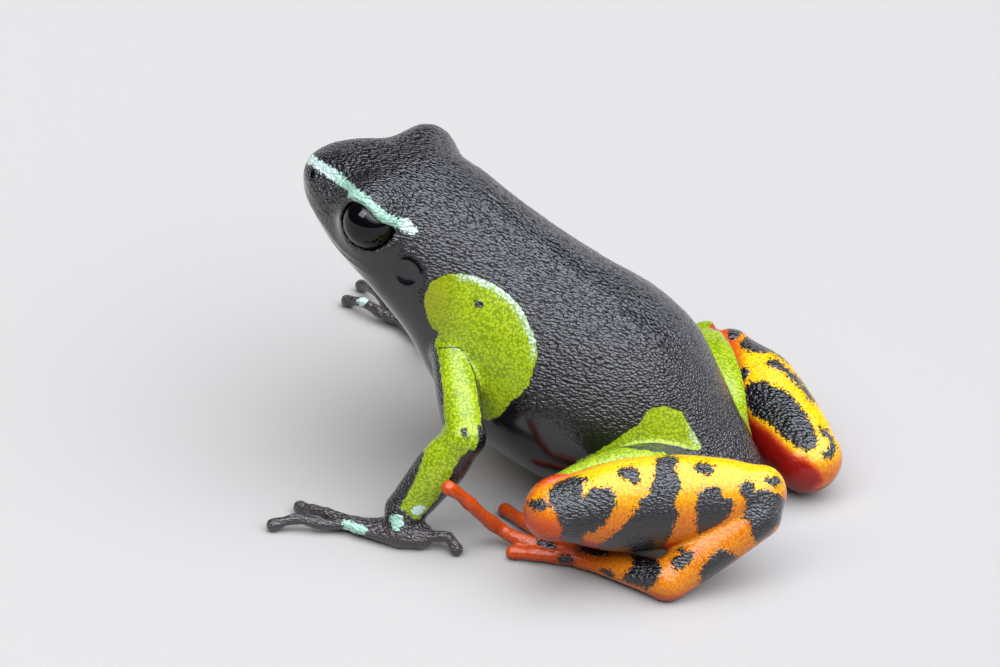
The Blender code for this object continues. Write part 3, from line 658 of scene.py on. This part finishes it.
# Patches of each limb that the camera sees.
patches = {
    ("shank", "left"): ("knee", "shankFront", "shankSpot", "shankMiddle", "shankTop", "shankRear",
                        "heel", "heelTop"),
    ("tarsus", "left"): ("heel", "tarsusRear", "tarsusMiddle", "tarsusFront"),
    ("sole", "left"): ("tarsusFront", "footEdge", "footTop", "footLow", "footSpot"),
    ("shank", "right"): ("rightKnee", "rightBand", "rightBroken", "rightSpot", "rightOval",
                         "rightHeel"),
}
# From yellow at 0 to deep red at 1, redder and darker where the legs face down, partly their own
# red and partly painted shade; then how high the granules of each place stand, and where markings
# end, in millimetres.
tints = {
    "others": 0.3, "thigh": 0.75, "shankTop": 0.05, "shankSide": 0.35, "knee": 0.25,
    "shankUnder": 0.9, "rightKnee": 0.5, "tarsus": 0.33, "tarsusUnder": 0.55, "rightTarsus": 0.85,
    "sole": 0.35, "toes": 0.24, "toesUnder": 0.8,
}
grains = {"back": 0.9, "limbs": 0.25, "limbTops": 0.5, "green": 0.7}
# the first edge is the half-width of the dark line of painted shade along the arm's fold
edges = {"most": 0.8, "creaseShade": 0.035, "fold": 0.5, "wrist": 1.0, "kneeGreen": 1.4,
         "kneeOrange": 1.7}


def fade(places, name):
    share = 1.0
    for axis, none, full in fades[name]:
        share = share * step(places[:, axis], none, full)
    return share


def markings(points, normals):
    shares = partShares(points)
    back = photoAxes()[2]
    seen = seenAt(points)
    facing = normals @ back
    flipped, flippedNormals = points * (-1, 1, 1), normals * (-1, 1, 1)
    seenFlipped, facingFlipped = seenAt(flipped), flippedNormals @ back
    up = normals[:, 2]
    low, none = np.full(len(points), -1.0), np.zeros(len(points))
    rim, frontShade, frost, mint, creaseShade, fold = none, none, none, low, low, none

    def shown(name, flip=False, least=-0.05):
        places, turned = (seenFlipped, facingFlipped) if flip else (seen, facing)
        return np.minimum(insideOutline(places, outlines[name]), (turned - least) * 1.6)

    # trunk and head, the same on both sides
    trunkShare = shares["trunk"]
    greenTrunk, darkTrunk = low, low
    for flip, here in ((False, points[:, 0] > 0), (True, points[:, 0] <= 0)):
        places, turned = (seenFlipped, facingFlipped) if flip else (seen, facing)
        shoulder, groin = shown("shoulder", flip), shown("groin", flip)
        greenTrunk = np.where(here, np.maximum(shoulder, groin), greenTrunk)
        darkTrunk = np.where(here, shown("shoulderSpot", flip), darkTrunk)
        # the pale rim is a painted sheen, fullest along the upper rear of the shoulder green and
        # weaker on the groin's
        edge = np.where(shoulder > groin, fade(places, "shoulderSheen"),
                        0.6 * fade(places, "groinSheen"))
        rim = np.where(here, edge, rim)
        # painted shade over the upper front of the shoulder green
        frontShade = np.where(here, fade(places, "frontShade"), frontShade)
        white = fade(places, "frontFrost") + fade(places, "rearFrost")
        frost = np.where(here, np.clip(white, 0, 1), frost)
        # a dark line of painted shade along the arm's fold
        line = edges["creaseShade"] - besideLine(places, creases["armFold"])
        creaseShade = np.where(here & (turned > 0), line, creaseShade)
        # the stripe belongs to the head alone
        mint = np.where(here & (points[:, 1] < -4.5), shown("stripe", flip, -0.3), mint)
        band = np.clip(1 - besideLine(places, creases["backFold"]) / edges["fold"], 0, 1)
        fold = np.maximum(fold, band * (turned > 0))
    fold = fold * trunkShare
    under = low
    for at, angle, radius in undersideSpots:
        under = np.maximum(under, radius - distanceTo(points, trunkPoint(at, angle)))
    for middle, radius in mintSpots:
        mint = np.maximum(mint, radius - distanceTo(points, middle))

    # limbs
    most = edges["most"]
    green = trunkShare * np.clip(greenTrunk, -most, most)
    dark = trunkShare * np.clip(darkTrunk, -most, most)
    orange = -most * trunkShare
    warmth = none
    for side, sign in (("left", 1), ("right", -1)):
        joint = {name: np.array(limbs[name][side]) for name in limbs}
        out = normals[:, 0] * sign
        for name in segments:
            # green, dark and orange as distances, and how far from yellow to red
            g, d, o, h = low, low, low, tints["others"]
            if name in ("upperArm", "forearm"):
                g = (out * 0.9 + up * 0.35 + 0.02) * 1.3
                if name == "forearm":
                    g = np.minimum(g, distanceTo(points, joint["wrist"]) - edges["wrist"])
                if side == "left":
                    for patch in ("armFront", "armRear", "armEdge"):
                        g = np.minimum(g, -insideOutline(seen, outlines[patch]))
                    d = np.maximum(d, shown("armFleck"))
            if name == "thigh":
                toKnee = distanceTo(points, joint["knee"])
                g = np.minimum((up - 0.12) * 1.5, toKnee - edges["kneeGreen"])
                if side == "left":
                    g = np.maximum(np.minimum(g, -facing), shown("thighTop"))
                o = np.maximum((-up - 0.4) * 1.5, edges["kneeOrange"] - toKnee)
                h = tints["thigh"]
            if name in ("shank", "tarsus", "sole"):
                o = -low
                for patch in patches.get((name, side), ()):
                    d = np.maximum(d, shown(patch))
                start, end = segments[name][:2]
                along, wide, deep, _ = limbAxes(points, joint[start], joint[end],
                                                wideWay(name, side))
                angle = np.degrees(np.arctan2(deep, wide))
                for limbName, limbSide, at, turn, halfLong, halfWide in hiddenPatches:
                    if (limbName, limbSide) == (name, side):
                        apart = (angle - turn + 180) % 360 - 180
                        place = np.hypot((along - at) / halfLong,
                                         np.radians(apart) * legRadius / halfWide)
                        d = np.maximum(d, (1 - place) * min(halfLong, halfWide))
                if name == "shank":
                    # redder and darker as the shank faces down: its own red underside, with painted
                    # shade
                    h = tints["shankTop"] + tints["shankSide"] * step(up, 0.75, -0.1)
                    h = h + tints["knee"] * step(distanceTo(points, joint["knee"]), 2.0, 1.0)
                    h = np.maximum(h, tints["shankUnder"] * step(-up, 0.25, 0.6))
                    if side == "right":
                        red = insideOutline(seen, outlines["rightRed"])
                        h = np.maximum(h, step(red, -0.1, 0.5))
                        h = np.maximum(h, tints["rightKnee"] * fade(seen, "rightKnee"))
                if name == "tarsus":
                    # redder and darker low by the floor: the tarsus' own red, with painted shade
                    h = tints["tarsus"] + tints["tarsusUnder"] * step(points[:, 2], 0.8, 0.3)
                    if side == "right":
                        h = np.maximum(h, tints["rightTarsus"])
                if name == "sole":
                    # the toes redder further out, their own red, and redder and darker low by the
                    # floor, partly painted shade
                    far = step(distanceTo(points, joint["ankle"]), 2.0, 5.5)
                    h = np.maximum(tints["sole"] + tints["toes"] * far,
                                   tints["toesUnder"] * step(points[:, 2], 0.45, 0.2))
            share = shares[name, side]
            green = green + share * np.clip(g, -most, most)
            dark = dark + share * np.clip(d, -most, most)
            orange = orange + share * np.clip(o, -most, most)
            warmth = warmth + share * h
    # the back and the tops of the limbs are grainy, the belly, the sides and the ears smooth
    limbGrain = grains["limbs"] + grains["limbTops"] * step(up, 0.0, 0.5)
    grain = grains["back"] * step(up, 0.0, 0.35) * trunkShare + limbGrain * (1 - trunkShare)
    grain = np.maximum(grain, grains["green"] * step(green, -0.05, 0.1))
    for side in ("left", "right"):
        grain = grain * step(distanceTo(points, onSkin(*ear["at"], side)[0]), *ear["bare"])
    hands = shares["palm", "left"] + shares["palm", "right"]
    return {"green": green, "rim": rim, "mint": mint, "under": under, "orange": orange,
            "dark": dark, "warmth": warmth, "grain": grain, "hand": hands, "frost": frost,
            "frontShade": frontShade, "fold": fold, "creaseShade": creaseShade}


# Granules of the mesh; the last pair are the heights above the floor where they start and are full.
granules = {"size": 0.30, "height": 0.016, "widest": 0.6, "level": 0.25, "floor": (0.02, 0.3)}


def raiseGranules(points, normals, grain):
    # low round granules in the mesh itself, larger than the fine grain of the material
    across = 1 / granules["size"]
    height = np.array([min(d[1] - d[0], granules["widest"]) for d in (
        noise.voronoi(Vector(p) * across)[0] for p in points.tolist())])
    lift = (height - granules["level"]) * granules["height"] * 2 * grain
    lift *= step(points[:, 2], *granules["floor"])
    return points + normals * lift[:, None]


def makeSkin():
    mesh = skinMesh(wholeField())
    read = []
    for source, name in ((mesh.vertices, "co"), (mesh.vertex_normals, "vector")):
        values = np.empty(len(mesh.vertices) * 3)
        source.foreach_get(name, values)
        read.append(values.reshape(-1, 3))
    points, normals = read
    marks = markings(points, normals)
    points = raiseGranules(points, normals, marks["grain"])
    # the same eye in the frame says how far the model was moved to its footprint's middle
    low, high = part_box("eye_left")
    shift = np.array((low + high) / 2) - np.array(eye["at"]) * mm
    mesh.vertices.foreach_set("co", (points * mm + shift).ravel())
    for name, values in marks.items():
        made = mesh.attributes.new(name, "FLOAT", "POINT")
        made.data.foreach_set("value", values.astype(np.float32))
    mesh.shade_smooth()
    skin = bpy.data.objects.new("skin", mesh)
    bpy.context.scene.collection.objects.link(skin)
    return skin, shift


def linear(code):
    # an sRGB hex code as linear light
    parts = [int(code[i:i + 2], 16) / 255 for i in (1, 3, 5)]
    return (*(p / 12.92 if p <= 0.04045 else ((p + 0.055) / 1.055) ** 2.4 for p in parts), 1)


def add(tree, kind, values=None, **settings):
    # one node with its settings, and its values or links by socket name or number; a node among
    # the values stands for its first output
    made = tree.nodes.new("ShaderNode" + kind)
    for name, value in settings.items():
        setattr(made, name, value)
    for socket, value in (values or {}).items():
        value = value.outputs[0] if isinstance(value, bpy.types.Node) else value
        if isinstance(value, bpy.types.NodeSocket):
            tree.links.new(value, made.inputs[socket])
        else:
            made.inputs[socket].default_value = value
    return made


def newMaterial(name):
    material = bpy.data.materials.new(name)
    material.use_nodes = True
    material.node_tree.nodes.clear()
    return material, material.node_tree


skinLook = {
    "black": ("#040405", "#0c0c11"),
    # the green pair: the darker in the net between the dots as painted shade, the lighter on their
    # tops as painted light, both also moved by a slow random tone
    "green": ("#556c09", "#96a81c"),
    # painted shade: the olive of the shoulder green's upper front
    "frontShade": "#767604",
    # painted sheen on the bead tops along the upper rims of the green
    "pale": "#b4c9cb",
    "warmth": [(0.0, "#d8ba0e"), (0.25, "#be840c"), (0.5, "#a4520d"), (0.75, "#a8350f"),
               (1.0, "#74100a")],
    "speck": "#331606",
    "mint": ("#84ad97", "#a6bcb3"),
    "under": "#9cc4bd",
    "hand": "#2b2524",
    # how much redder and darker the painted shade between the dots makes the yellow to red
    "hollowShade": 0.22,
    "roughness": (0.20, 0.22), "ior": 1.34,
    "coat": (0.15, 0.9), "coatRoughness": 0.12, "coatIor": 1.5,
    # millimetres: slow change of tone, wavy edges, ragged edges, specks and furrows
    "slow": 1.1111, "wave": 0.41667, "ragged": 0.11111, "speckle": 0.08333,
    "furrow": (0.2, 0.90909, 0.2),
    # millimetres: granules of the back, the finer ones of the colours, and how high they stand
    "granule": 0.125, "long": 0.5, "dot": 0.13,
    "granuleHeight": 0.10, "dotHeight": 0.010, "foldHeight": 0.05, "lumpHeight": 0.010,
}


def moistGranularSkin():
    # Living frog skin: black and coloured pigment under a thin wet film, pebbled on the back.
    # The film mirrors the light above, and the granules break that mirror into grey beads.
    material, tree = newMaterial("moist granular skin")
    look = skinLook
    where = add(tree, "TexCoord").outputs["Object"]
    place = add(tree, "VectorMath", {0: where, "Scale": 1 / mm}, operation="SCALE")
    value = {name: add(tree, "Attribute", attribute_name=name).outputs["Fac"]
             for name in ("green", "rim", "mint", "under", "orange", "dark", "warmth", "grain",
                          "hand", "frost", "frontShade", "fold", "creaseShade")}
    slow, wobble, fine, speck = (
        add(tree, "TexNoise", {"Vector": place, "Scale": 1 / look[name], "Detail": detail})
        for name, detail in (("slow", 3.0), ("wave", 2.0), ("ragged", 2.0), ("speckle", 1.0)))
    # granules of 0.12 mm, twice as long along the body, near the size of those in the photo
    bent = add(tree, "VectorMath", {0: fine.outputs["Color"], 1: (0.10, 0.10, 0.10),
                                    2: place}, operation="MULTIPLY_ADD")
    stretched = add(tree, "VectorMath", {0: bent, 1: (1, look["long"], 1)}, operation="MULTIPLY")
    beads = add(tree, "TexVoronoi", {"Vector": stretched, "Scale": 1 / look["granule"],
                                     "Randomness": 0.9}, feature="F1")
    dots = add(tree, "TexVoronoi", {"Vector": place, "Scale": 1 / look["dot"],
                                    "Randomness": 0.85}, feature="F1")
    domes = {}
    for name, node, widest in (("bead", beads, 0.85), ("dot", dots, 0.42)):
        square = add(tree, "Math", {0: node, 1: 2.0}, operation="POWER")
        domes[name] = add(tree, "MapRange", {"Value": square, "From Max": widest,
                                             "To Min": 1.0, "To Max": 0.0})
    # edges of the markings: wavy, and ragged where they follow the granules
    shifts = {}
    for name, wide, ragged, source in (("soft", 0.20, 0.14, fine),
                                       ("ragged", 0.06, 0.20, dots.outputs["Color"]),
                                       ("fuzzy", 0.10, 0.22, dots.outputs["Color"])):
        a = add(tree, "Math", {0: wobble, 1: wide, 2: -wide / 2}, operation="MULTIPLY_ADD")
        b = add(tree, "Math", {0: source, 1: ragged, 2: -ragged / 2}, operation="MULTIPLY_ADD")
        shifts[name] = add(tree, "Math", {0: a, 1: b}, operation="ADD")
    masks = {}
    for name, shift, soft in (("green", "soft", 0.03), ("orange", "soft", 0.05),
                              ("mint", "ragged", 0.035), ("dark", "fuzzy", 0.05),
                              ("under", "soft", 0.10), ("creaseShade", "", 0.03)):
        moved = value[name] if not shift else add(
            tree, "Math", {0: value[name], 1: shifts[shift]}, operation="ADD")
        masks[name] = add(tree, "MapRange", {"Value": moved, "From Min": -soft,
                                             "From Max": soft}, interpolation_type="SMOOTHSTEP")
    # the pale rim, a painted sky-blue sheen: beads in a band just inside the green, where it has
    # one
    moved = add(tree, "Math", {0: value["green"], 1: shifts["ragged"]}, operation="ADD")
    band = add(tree, "MapRange", {"Value": moved, "From Min": 0.40, "From Max": 0.12},
               interpolation_type="SMOOTHSTEP")
    bead = add(tree, "MapRange", {"Value": domes["dot"], "From Min": 0.35,
                                  "From Max": 0.8, "To Min": 0.25})
    for factor in (bead, masks["green"], value["rim"]):
        band = add(tree, "Math", {0: band, 1: factor}, operation="MULTIPLY")
    masks["rim"] = band

    tone = add(tree, "MapRange", {"Value": slow, "From Min": 0.3, "From Max": 0.7})
    # the colours are painted lighter on the dot tops and darker in the net between them, as painted
    # light and painted shade, over a slow random tone
    dotShade = add(tree, "Math", {0: domes["dot"], 1: 0.7, 2: 0.1}, operation="MULTIPLY_ADD")
    toneAndDotShade = add(tree, "Math", {0: tone, 1: 0.2, 2: dotShade}, operation="MULTIPLY_ADD")
    # yellow to red, and a redder, darker tone of the same between the dots, as painted shade in
    # their hollows
    tones = []
    for more in (look["hollowShade"], 0.0):
        moved = add(tree, "Math", {0: value["warmth"], 1: more}, operation="ADD")
        ramp = add(tree, "ValToRGB", {0: moved})
        steps = ramp.color_ramp.elements
        steps[0].color, steps[1].color = (linear(look["warmth"][end][1]) for end in (0, -1))
        for at, code in look["warmth"][1:-1]:
            steps.new(at).color = linear(code)
        tones.append(ramp)
    warm = add(tree, "Mix", {0: toneAndDotShade, 6: tones[0], 7: tones[1]}, data_type="RGBA").outputs[2]
    # dark specks gather round the dark patches and thin out away from them
    close = add(tree, "MapRange", {"Value": value["dark"], "From Min": -0.40,
                                   "From Max": 0.0, "To Min": 0.23, "To Max": 0.45})
    speck = add(tree, "Math", {0: close, 1: speck}, operation="SUBTRACT")
    masks["speck"] = add(tree, "MapRange", {"Value": speck, "From Min": -0.02, "From Max": 0.04})
    masks["speck"] = add(tree, "Math", {0: masks["orange"], 1: masks["speck"]},
                         operation="MULTIPLY")
    mixed = {name: add(tree, "Mix", {0: by, 6: linear(look[name][0]), 7: linear(look[name][1])},
                       data_type="RGBA").outputs[2]
             for name, by in (("black", tone), ("green", toneAndDotShade), ("mint", value["frost"]))}
    # painted shade darkens the upper front of the shoulder green towards olive
    frontShadeShare = add(tree, "Math", {0: value["frontShade"], 1: 0.6}, operation="MULTIPLY")
    mixed["green"] = add(tree, "Mix", {0: frontShadeShare, 6: mixed["green"], 7: linear(look["frontShade"])},
                         data_type="RGBA").outputs[2]
    # the last layer over the black is a dark line of painted shade along the arm's fold
    colour = mixed["black"]
    for mask, over in ((value["hand"], linear(look["hand"])),
                       (masks["under"], linear(look["under"])),
                       (masks["green"], mixed["green"]), (masks["rim"], linear(look["pale"])),
                       (masks["orange"], warm), (masks["speck"], linear(look["speck"])),
                       (masks["dark"], mixed["black"]), (masks["mint"], mixed["mint"]),
                       (masks["creaseShade"], linear(look["black"][0]))):
        colour = add(tree, "Mix", {0: mask, 6: colour, 7: over}, data_type="RGBA").outputs[2]
    roughness = add(tree, "MapRange", {"Value": value["grain"], "To Min": look["roughness"][0],
                                       "To Max": look["roughness"][1]})
    # heights in millimetres: beads on the black, finer dots on the colours, furrows and lumps
    coloured = add(tree, "Math", {0: masks["green"], 1: masks["orange"]}, operation="MAXIMUM")
    coloured = add(tree, "Math", {0: coloured, 1: masks["dark"]},
                   operation="SUBTRACT", use_clamp=True)
    size = add(tree, "Mix", {0: coloured, 2: look["granuleHeight"], 3: look["dotHeight"]})
    dome = add(tree, "Mix", {0: coloured, 2: domes["bead"], 3: domes["dot"]})
    raised = add(tree, "Math", {0: dome, 1: size}, operation="MULTIPLY")
    raised = add(tree, "Math", {0: raised, 1: value["grain"]}, operation="MULTIPLY")
    drawn = add(tree, "VectorMath", {0: place, 1: look["furrow"]}, operation="DIVIDE")
    furrow = add(tree, "TexNoise", {"Vector": drawn, "Scale": 1.0, "Detail": 1.0})
    for source, height, by in ((furrow, look["foldHeight"] * 4, value["fold"]),
                               (wobble, look["lumpHeight"], value["grain"])):
        part = add(tree, "Math", {0: source, 1: height}, operation="MULTIPLY")
        raised = add(tree, "Math", {0: part, 1: by, 2: raised}, operation="MULTIPLY_ADD")
    bump = add(tree, "Bump", {"Height": raised, "Strength": 1.0, "Distance": mm})
    # the wet film shows on the black; the pigment of the colours scatters more than it mirrors
    film = add(tree, "MapRange", {"Value": coloured, "To Min": look["coat"][1],
                                  "To Max": look["coat"][0]})
    shader = add(tree, "BsdfPrincipled", {
        "Base Color": colour, "Roughness": roughness, "Normal": bump, "IOR": look["ior"],
        "Coat Weight": film, "Coat Roughness": look["coatRoughness"],
        "Coat IOR": look["coatIor"], "Coat Normal": bump})
    add(tree, "OutputMaterial", {"Surface": shader})
    return material


eyeLook = {"colour": "#050507", "roughness": 0.03, "ior": 1.376}


def wetCornea():
    # A frog's eye with a black iris under a wet, clear cornea: a black mirror with one highlight.
    material, tree = newMaterial("wet black eye")
    shader = add(tree, "BsdfPrincipled", {
        "Base Color": linear(eyeLook["colour"]), "Roughness": eyeLook["roughness"],
        "IOR": eyeLook["ior"]})
    add(tree, "OutputMaterial", {"Surface": shader})
    return material


def makeEye(side, shift, material):
    # a ball that bulges a little where the clear cornea stands over the iris
    flip = np.array((1 if side == "left" else -1, 1, 1))
    look = np.array(eye["look"]) * flip
    look /= np.linalg.norm(look)
    high = np.cross(look, (0, 1, 0))
    high /= np.linalg.norm(high)
    aside = np.cross(high, look)
    rings, sides = eye["rings"], eye["sides"]
    away = np.pi * np.arange(1, rings) / rings
    turn = 2 * np.pi * np.arange(sides) / sides
    bulge = 1 + eye["cornea"] * step(np.cos(away), eye["corneaFrom"], 1.0)
    reach = (eye["radius"] * bulge)[:, None, None]
    circle = np.cos(turn)[:, None] * high + np.sin(turn)[:, None] * aside
    points = reach * (np.cos(away)[:, None, None] * look + np.sin(away)[:, None, None] * circle)
    ends = np.stack([look * eye["radius"] * (1 + eye["cornea"]), -look * eye["radius"]])
    points = np.concatenate([points.reshape(-1, 3), ends])
    front, rear, faces = len(points) - 2, len(points) - 1, []
    for i in range(sides):
        j = (i + 1) % sides
        for row in range(rings - 2):
            a, b = row * sides, (row + 1) * sides
            faces.append((a + i, b + i, b + j, a + j))
        last = (rings - 2) * sides
        faces += [(front, i, j), (rear, last + j, last + i)]
    mesh = bpy.data.meshes.new(f"eyeball_{side}")
    middle = np.array(eye["at"]) * flip
    mesh.from_pydata(((points + middle) * mm + shift).tolist(), [], faces)
    mesh.shade_smooth()
    mesh.materials.append(material)
    made = bpy.data.objects.new(f"eyeball_{side}", mesh)
    bpy.context.scene.collection.objects.link(made)
    return made


room = {"floor": "#8d8a84", "floorSize": 2.0,
        # the lit part of the tent: azimuth and elevation of its middle, and degrees out to where
        # it starts and has ended fading
        "sky": "#e4e8f6", "low": "#8c877d", "middle": (168, 68), "fade": (36, 60),
        "skyStrength": 6.8, "lowStrength": 0.10,
        "key": {"at": (0.256, -0.161, 0.333), "size": 0.20, "power": 0.9, "colour": "#fbfcff"}}


def makeRoom():
    bpy.ops.mesh.primitive_plane_add(size=room["floorSize"])
    floor = bpy.context.object
    floor.name = "floor"
    material, tree = newMaterial("pale matte paper")
    # Uncoated paper sweep: flat and pale, with no pattern to draw the eye.
    shader = add(tree, "BsdfPrincipled", {"Base Color": linear(room["floor"]), "Roughness": 0.8})
    add(tree, "OutputMaterial", {"Surface": shader})
    floor.data.materials.append(material)
    world = bpy.data.worlds.new("studio")
    world.use_nodes = True
    tree = world.node_tree
    tree.nodes.clear()
    # a broad white cloth above and beyond the frog, as in a light tent that is open in front
    way = add(tree, "TexCoord").outputs["Generated"]
    a, e = (math.radians(angle) for angle in room["middle"])
    middle = (math.sin(a) * math.cos(e), -math.cos(a) * math.cos(e), math.sin(e))
    rise = add(tree, "VectorMath", {0: way, 1: middle}, operation="DOT_PRODUCT").outputs["Value"]
    full, none = (math.cos(math.radians(angle)) for angle in room["fade"])
    share = add(tree, "MapRange", {"Value": rise, "From Min": none, "From Max": full},
                interpolation_type="SMOOTHSTEP")
    tint = add(tree, "Mix", {0: share, 6: linear(room["low"]), 7: linear(room["sky"])},
               data_type="RGBA").outputs[2]
    power = add(tree, "MapRange", {"Value": share, "To Min": room["lowStrength"],
                                   "To Max": room["skyStrength"]})
    light = add(tree, "Background", {"Color": tint, "Strength": power})
    add(tree, "OutputWorld", {"Surface": light})
    bpy.context.scene.world = world
    key = room["key"]
    lamp = bpy.data.lights.new("key", "AREA")
    lamp.size, lamp.energy, lamp.color = key["size"], key["power"], linear(key["colour"])[:3]
    made = bpy.data.objects.new("key", lamp)
    made.location = key["at"]
    made.rotation_mode = "QUATERNION"
    made.rotation_quaternion = Vector(made.location).to_track_quat("Z", "Y")
    bpy.context.scene.collection.objects.link(made)


def makeCamera(shift):
    right, up, back = photoAxes()
    scale = photo["scale"]
    u, v = photo["centre"]
    aside = (photo["width"] / 2 - u) / scale
    above = (v - photo["height"] / 2) / scale
    place = (back * photo["distance"] + right * aside + up * above) * mm + shift
    data = bpy.data.cameras.new("camera")
    data.sensor_width = 36
    data.lens = scale * photo["distance"] * data.sensor_width / photo["width"]
    data.clip_start, data.clip_end = 0.01, 10
    made = bpy.data.objects.new("camera", data)
    turn = Matrix([right, up, back]).transposed().to_4x4()
    made.matrix_world = Matrix.Translation(place) @ turn
    bpy.context.scene.collection.objects.link(made)
    bpy.context.scene.camera = made


skin, shift = makeSkin()
print("skin drawn:", len(skin.data.polygons), "faces")
skin.data.materials.append(moistGranularSkin())
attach(skin, "root")
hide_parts(*[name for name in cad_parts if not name.startswith("eye_")])
cornea = wetCornea()
for side in ("left", "right"):
    ball = makeEye(side, shift, cornea)
    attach(ball, "root")
    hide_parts(f"eye_{side}")
print("eyes set")
makeRoom()
makeCamera(shift)
bpy.context.scene.view_settings.view_transform = "Standard"
print("room, lights and camera ready")

bpy.context.view_layer.update()
